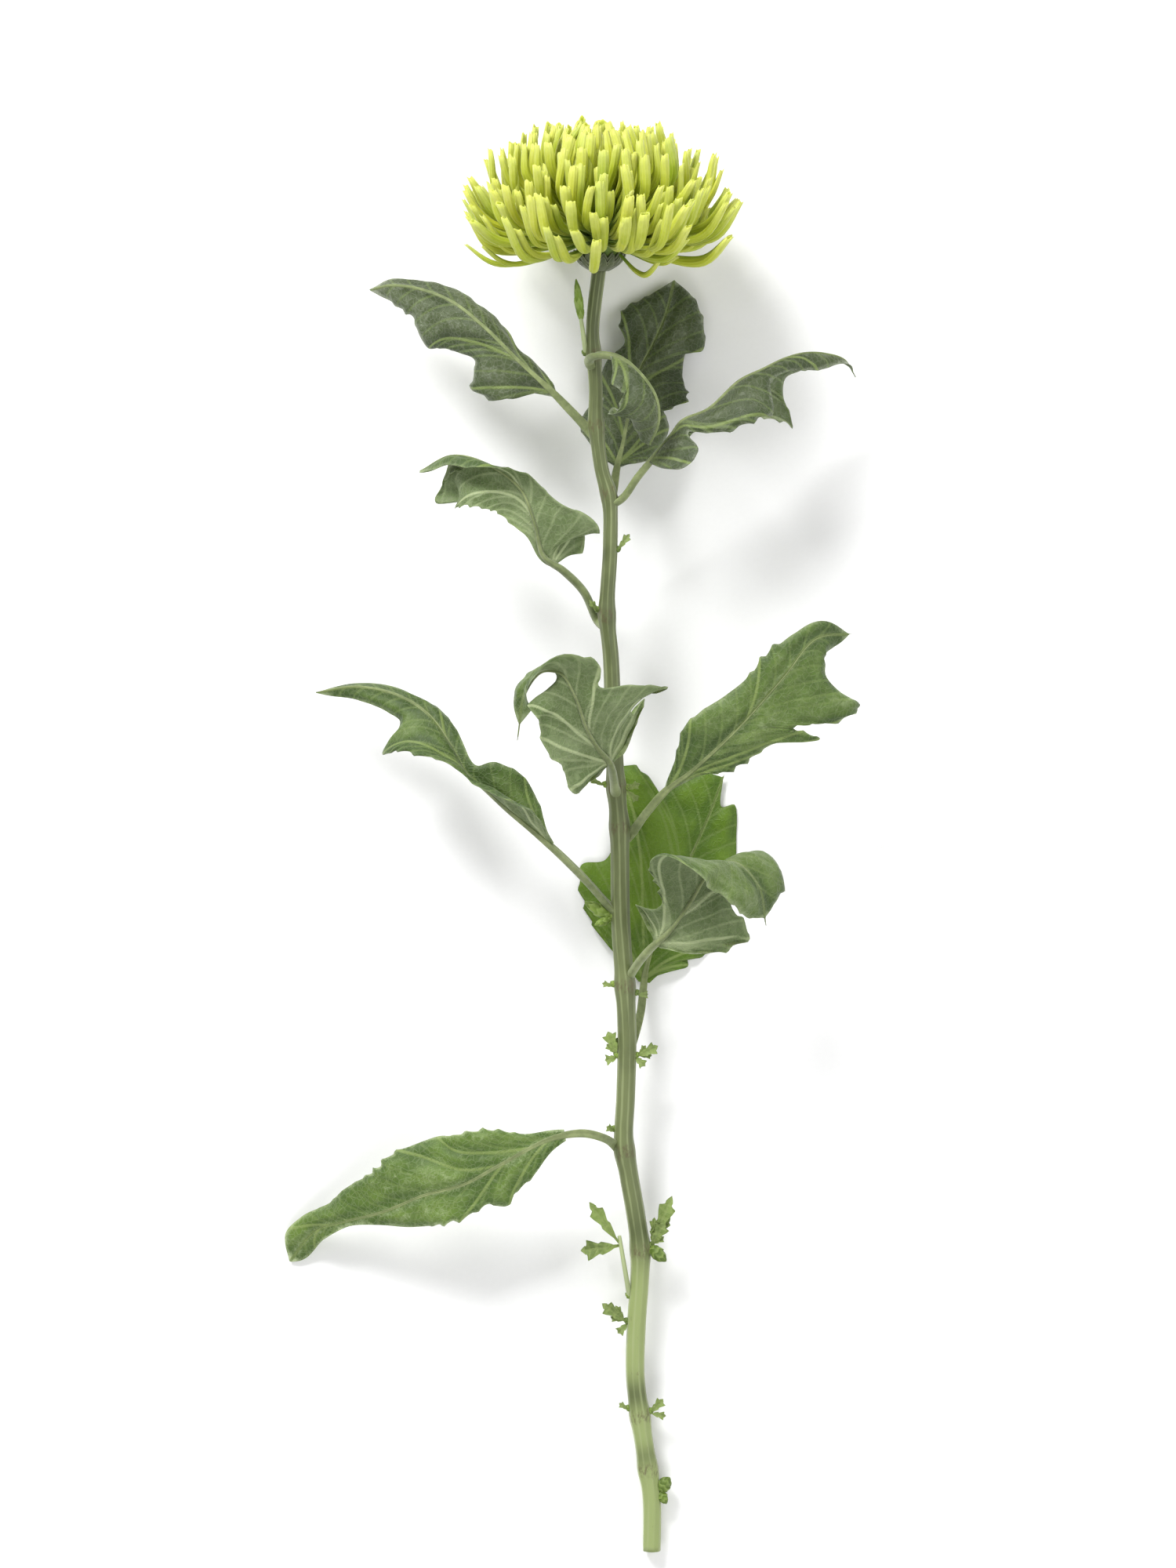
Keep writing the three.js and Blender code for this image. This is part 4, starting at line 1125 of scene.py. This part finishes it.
def build_shoots():
    for number, shoot in enumerate(SHOOTS, 1):
        random = np.random.default_rng(300 + number)
        skin = Skin(*LEAF_MARKS)
        radius, _ = stem_radius(np.array([shoot["at"]]))
        base = stem_point(shoot["at"]) + np.array([shoot["side"] * (radius[0] - 0.3), 0, 0])
        outside = np.array([shoot["side"] * 1.0, 0, 0])
        bud(skin, base - outside, base + outside * 1.6 + np.array([0, 1.6, 0.3]), 1.25, random)
        foot = base
        for i, (x, y, rise, half_width, thickness) in enumerate(shoot["leaflets"]):
            end = np.array([x, y, base[2] + rise])
            if shoot.get("stalked") and i == 0:
                young_stalk(skin, base, end, half_width)
                foot = end * 0.85 + base * 0.15
                continue
            if thickness >= 1.2:
                bud(skin, foot, end + unit(end - foot) * 1.5, half_width * 0.95, random)
                continue
            young_leaf(skin, foot, end, half_width, thickness, random)
            if half_width >= 1.5 and not shoot.get("stalked"):
                for lean in (-1, 1):
                    reach = end - foot
                    aside = unit(np.array([-reach[1], reach[0], 0.0])) * lean
                    forward = reach * random.uniform(0.5, 0.68)
                    small = foot + forward + aside * half_width * random.uniform(1.0, 1.5)
                    small[2] += random.uniform(-0.5, 0.8)
                    young_leaf(skin, foot + reach * 0.12, small, half_width * 0.55, thickness * 0.7, random)
        skin.piece(f"shoot_leafy_{number:02d}", YOUNG_LEAF, "shoot", f"shoot_{number:02d}")


# ---------- bloom ----------
def turn_to_bloom(points):
    """From the bloom's own axes, with +Z out of its face, to the plant's."""
    lean = -(math.pi / 2 - HEAD_TILT)
    x, y, z = np.moveaxis(np.asarray(points, float), -1, 0)
    cos, sin = math.cos(lean), math.sin(lean)
    turned = np.stack([x, y * cos - z * sin, y * sin + z * cos], -1)
    return turned + HEAD_CENTRE


def bloom_reach(polar):
    """How far a floret reaches from the bloom's centre, by its angle from the bloom's axis."""
    return BLOOM_HEIGHT + (BLOOM_RADIUS - BLOOM_HEIGHT) * math.sin(polar) ** 2


FLORET_STEPS = 22
FLORET_SIDES = 18
FLORET_FOOT = 0.55  # radius at the dome
FLORET_WIDTHS = (1.4, 2.0)  # range of the radius at the mouth
THIN_WIDTHS = (0.95, 1.15)
FLORET_REACH = (0.93, 1.04)  # shares of the bloom's own reach
FILLER_REACH = (0.76, 0.92)
MOUTH = [(0.0, 0.90), (-0.5, 0.74), (-1.4, 0.66), (-2.6, 0.45)]  # depth and share of the radius
MOUTH_SHADE = [0.2, 0.6, 1.0, 1.0]
STRAYS = [[129, 106, 28], [112, 99, 30], [-79, 96, 47], [-100, 94, 41]]  # azimuth, polar angle, reach


def build_floret(skin, polar, azimuth, root, reach, random, thin=False):
    """One quilled floret: a thin tube that widens to an open, toothed mouth and hooks inwards."""
    t = np.linspace(0, 1, FLORET_STEPS)
    hook = random.uniform(0.5, 1.7)
    bow = math.radians(random.uniform(3, 10)) * math.sin(polar)
    sway = math.radians(random.normal(0, 3.2))
    distance = root + (reach - root) * t
    angle = polar + bow * np.sin(math.pi * t)
    aside = azimuth + sway * np.sin(math.pi * t * 0.9) / max(math.sin(polar), 0.3)
    outward = np.stack([np.sin(angle) * np.sin(aside), np.sin(angle) * np.cos(aside), np.cos(angle)], -1)
    centre = outward * distance[:, None]
    # the last part turns in towards the axis of the bloom
    sin_polar, cos_polar = math.sin(polar), math.cos(polar)
    sin_azimuth, cos_azimuth = math.sin(azimuth), math.cos(azimuth)
    inward = np.array([-sin_azimuth * cos_polar, -cos_azimuth * cos_polar, sin_polar])
    lean_in = fade(t, 0.66, 1.05) ** 1.6 * (3.6 if thin else 4.4 + 1.6 * math.sin(polar)) * hook
    sideways = np.cross(inward, [sin_polar * sin_azimuth, sin_polar * cos_azimuth, cos_polar])
    drift = fade(t, 0.5, 1.0) * random.normal(0, 0.8)
    centre = centre + lean_in[:, None] * inward + drift[:, None] * sideways
    ahead = unit(np.gradient(centre, axis=0))
    side = unit(np.cross(ahead, inward))
    inner = np.cross(side, ahead)
    wide = random.uniform(*(THIN_WIDTHS if thin else FLORET_WIDTHS))
    radius = FLORET_FOOT + (wide - FLORET_FOOT) * fade(t, 0.05, 0.92) ** 1.1
    radius = radius * (1 - 0.22 * fade(t, 0.93, 1.0))
    # the mouth: the wall turns over its rim and runs back inside the tube
    last = len(t) - 1
    rows = list(range(len(t))) + [last] * len(MOUTH)
    back = np.array([0.0] * len(t) + [depth for depth, _ in MOUTH])
    radius = np.concatenate([radius, [radius[-1] * share for _, share in MOUTH]])
    centre, ahead, side, inner = (values[rows] for values in (centre, ahead, side, inner))
    station = t[rows]
    around = np.linspace(0, 2 * math.pi, FLORET_SIDES, endpoint=False)
    facing = np.cos(around)[None, :]
    open_side = fade(station, 0.8, 1.0)[:, None]
    slant = 1.1 * random.uniform(0.4, 1.3) * (0.5 - 0.5 * facing)
    teeth = 0.42 * np.cos(3 * around + math.pi)[None, :] * random.uniform(0.5, 1.3)
    push = open_side ** 2 * (slant + teeth) * (1 if not thin else 0.6) + back[:, None]
    hood = open_side * (0.5 - 0.5 * facing) * wide * random.uniform(0.2, 0.6)
    hollow = np.where(facing > 0, facing, 0) ** 1.2
    dent = hollow * fade(station, 0.7, 0.95)[:, None] * random.uniform(0.15, 0.6)
    flat = 1 + 0.14 * np.sin(around * 2)[None, :] * random.uniform(-1, 1)
    inner_part = (facing - dent) * radius[:, None] + hood
    side_part = np.sin(around)[None, :] * radius[:, None] * flat * (1 + 0.1 * open_side)
    rings = centre[:, None] + inner_part[..., None] * inner[:, None] + side_part[..., None] * side[:, None]
    rings = rings + push[..., None] * ahead[:, None]
    rings = turn_to_bloom(rings)
    rings[..., 2] = soft_floor(rings[..., 2], 0.5, 1.2)
    folded = np.where(around > math.pi, 2 * math.pi - around, around)
    shade = float(np.clip(random.normal(0.5, 0.24) + 0.25 * math.cos(polar), 0, 1))
    inside = np.array([0.0] * len(t) + MOUTH_SHADE)[:, None]
    skin.add_tube(
        rings,
        reach=station[:, None] + 0 * facing,
        around=folded[None, :] + 0 * station[:, None],
        tint=shade,
        inner=inside + 0 * facing,
    )


def build_bloom():
    for whorl in range(WHORLS):
        random = np.random.default_rng(500 + whorl)
        skin = Skin("reach", "around", "tint", "inner")
        for i in range(FLORETS_PER_WHORL + FILLERS_PER_WHORL):
            filler = i >= FLORETS_PER_WHORL
            share = (whorl + (random.uniform(0.1, 0.9) if filler else 0.5)) / WHORLS
            polar = math.acos(1 - share * (1 - math.cos(LAST_ANGLE)))
            azimuth = (whorl * FLORETS_PER_WHORL + i) * GOLDEN_ANGLE
            if filler:
                azimuth = (i + random.uniform(0, 0.8)) * 2 * math.pi / FILLERS_PER_WHORL
            tilt = polar + math.radians(random.normal(0, 2.8))
            if filler and whorl >= WHORLS - 2:
                tilt += math.radians(random.uniform(2, 8))
            reach = bloom_reach(polar) * random.uniform(*(FILLER_REACH if filler else FLORET_REACH))
            azimuth += math.radians(random.normal(0, 3))
            build_floret(skin, tilt, azimuth, DOME_RADIUS - 0.4, reach, random)
        name = f"{whorl + 1:02d}"
        skin.piece(f"florets_{name}", FLORET_YELLOW, "floret", f"floret_whorl_{name}")
    for number, (azimuth, polar, reach) in enumerate(STRAYS, 1):
        random = np.random.default_rng(700 + number)
        skin = Skin("reach", "around", "tint", "inner")
        build_floret(skin, math.radians(polar), math.radians(azimuth), DOME_RADIUS, reach, random, True)
        skin.piece(f"drooping_floret_{number:02d}", FLORET_YELLOW, "floret", f"stray_floret_{number:02d}")


DOME_OUTLINE = np.array([  # radius and level, from the neck to the top
    [0.1, -7.2], [3.2, -7.2], [5.6, -5.2], [7.5, -3], [8.4, -1], [8.5, 0.2], [7.9, 2.6],
    [6, 5.1], [3.4, 6.7], [1.2, 7.2], [0.1, 7.23],
])


def build_receptacle():
    """Domed seat of the florets, pitted where they stand."""
    skin = Skin("margin")
    u = np.linspace(0, 1, 40)[:, None]
    w = np.linspace(0, 2 * math.pi, 56, endpoint=False)[None, :]
    places = np.linspace(0, 1, len(DOME_OUTLINE))
    radius = np.interp(u, places, DOME_OUTLINE[:, 0])
    level = np.interp(u, places, DOME_OUTLINE[:, 1])
    pit = 0.12 * np.sin(14 * w + 20 * u) * np.sin(46 * u) * fade(u, 0.4, 0.6)
    radius = np.maximum(radius + pit, 0.05)
    rings = np.stack([radius * np.cos(w), radius * np.sin(w), level + 0 * w], -1)
    skin.add_tube(turn_to_bloom(rings), margin=2.0)
    return skin.piece("receptacle_dome", RECEPTACLE_GREEN, "receptacle", "receptacle")


BRACT_ROWS = [  # count, height and radius at the foot, height and radius at the tip, half width
    (13, -9.0, 3.2, -4.6, 8.3, 1.9),
    (15, -8.4, 3.8, -3.2, 9.5, 2.0),
    (18, -7.6, 4.6, -1.9, 9.9, 2.1),
]


def build_involucre():
    """Three rows of overlapping pointed bracts round the cup of the bloom."""
    skin = Skin("margin")
    for row, (count, low, foot, high, rim, half_width) in enumerate(BRACT_ROWS):
        random = np.random.default_rng(900 + row)
        for i in range(count):
            turn = 2 * math.pi * (i + row * 0.5) / count + random.normal(0, 0.04)
            t = np.linspace(0, 1, 12)[:, None]
            s = np.linspace(-1, 1, 9)[None, :]
            width = half_width * np.maximum(np.sin(math.pi * (0.2 + 0.8 * t)) ** 0.6, 0.06) * (1 - 0.35 * t)
            level = low + (high - low) * t
            radius = foot + (rim - foot) * np.sin(t * math.pi / 2) ** 0.9 - 0.25 * s**2 - row * 0.35
            radius = radius + 0.25 * np.exp(-((s * 4) ** 2)) * (1 - t)
            angle = turn + width * s / np.maximum(radius, 3.0)
            surfaces = [
                np.stack([out * np.cos(angle), out * np.sin(angle), up + 0 * s], -1).reshape(-1, 3)
                for out, up in ((radius, level), (radius - 0.4, level + 0.1))
            ]
            points = turn_to_bloom(np.concatenate(surfaces))
            margin = twice(width * (1 - np.abs(s)))
            skin.add(points, closed_sheet_faces(t.size, s.size), margin=margin)
    return skin.piece("involucre_bracts", BRACT_GREEN, "involucre", "involucre")


# ---------- surface, light and camera ----------
ROOM_LIGHT = 0.40
CAMERA_POINT = np.array([-22.5, 270.9, 25.0])  # the plant's point under the camera
CAMERA_DISTANCE = 2.2
VIEWED_HEIGHT = 0.5489


def build_set():
    """The pale surface, the soft room, three lamps and the overhead camera."""
    mesh = bpy.data.meshes.new("surface")
    mesh.from_pydata([(-4, -4, 0), (4, -4, 0), (4, 4, 0), (-4, 4, 0)], [], [(0, 1, 2, 3)])
    floor = bpy.data.objects.new("surface", mesh)
    r = Recipe("pale surface")
    paper = r.noise(600.0, 3.0)
    colour = r.mix(paper, (0.93, 0.93, 0.93), (0.97, 0.97, 0.97))
    mesh.materials.append(r.finish(Base_Color=colour, Roughness=0.9, Specular_IOR_Level=0.1))
    bpy.context.scene.collection.objects.link(floor)

    world = bpy.data.worlds.new("soft room")
    world.use_nodes = True
    background = world.node_tree.nodes["Background"]
    background.inputs["Color"].default_value = (1.0, 1.0, 1.0, 1.0)
    background.inputs["Strength"].default_value = ROOM_LIGHT
    bpy.context.scene.world = world

    def lamp(name, place, size, power):
        light = bpy.data.lights.new(name, "AREA")
        light.shape = "RECTANGLE"
        light.size, light.size_y = size
        light.energy = power
        thing = bpy.data.objects.new(name, light)
        thing.location = place
        aim = np.array([0.0, 0.0, 0.04]) - np.array(place)
        aim = aim / np.linalg.norm(aim)
        thing.rotation_mode = "QUATERNION"
        thing.rotation_quaternion = Vector(aim).to_track_quat("-Z", "Y")
        bpy.context.scene.collection.objects.link(thing)

    lamp("key", (-0.7, 1.3, 1.15), (0.7, 0.6), 37.0)
    lamp("fill", (1.3, 0.1, 1.3), (1.0, 1.2), 12.0)
    lamp("foot", (-0.2, -1.4, 1.3), (1.2, 0.8), 12.0)

    camera = bpy.data.cameras.new("overhead")
    camera.sensor_width = 36.0
    camera.lens = 36.0 * CAMERA_DISTANCE / VIEWED_HEIGHT
    thing = bpy.data.objects.new("overhead", camera)
    middle = CAMERA_POINT + ROW_SHIFT
    thing.location = (middle[0] / 1000, middle[1] / 1000, middle[2] / 1000 + CAMERA_DISTANCE)
    bpy.context.scene.collection.objects.link(thing)
    bpy.context.scene.camera = thing
    bpy.context.scene.view_settings.view_transform = "Standard"


build_stem()
build_leaves()
build_shoots()
build_receptacle()
build_involucre()
build_bloom()
build_set()
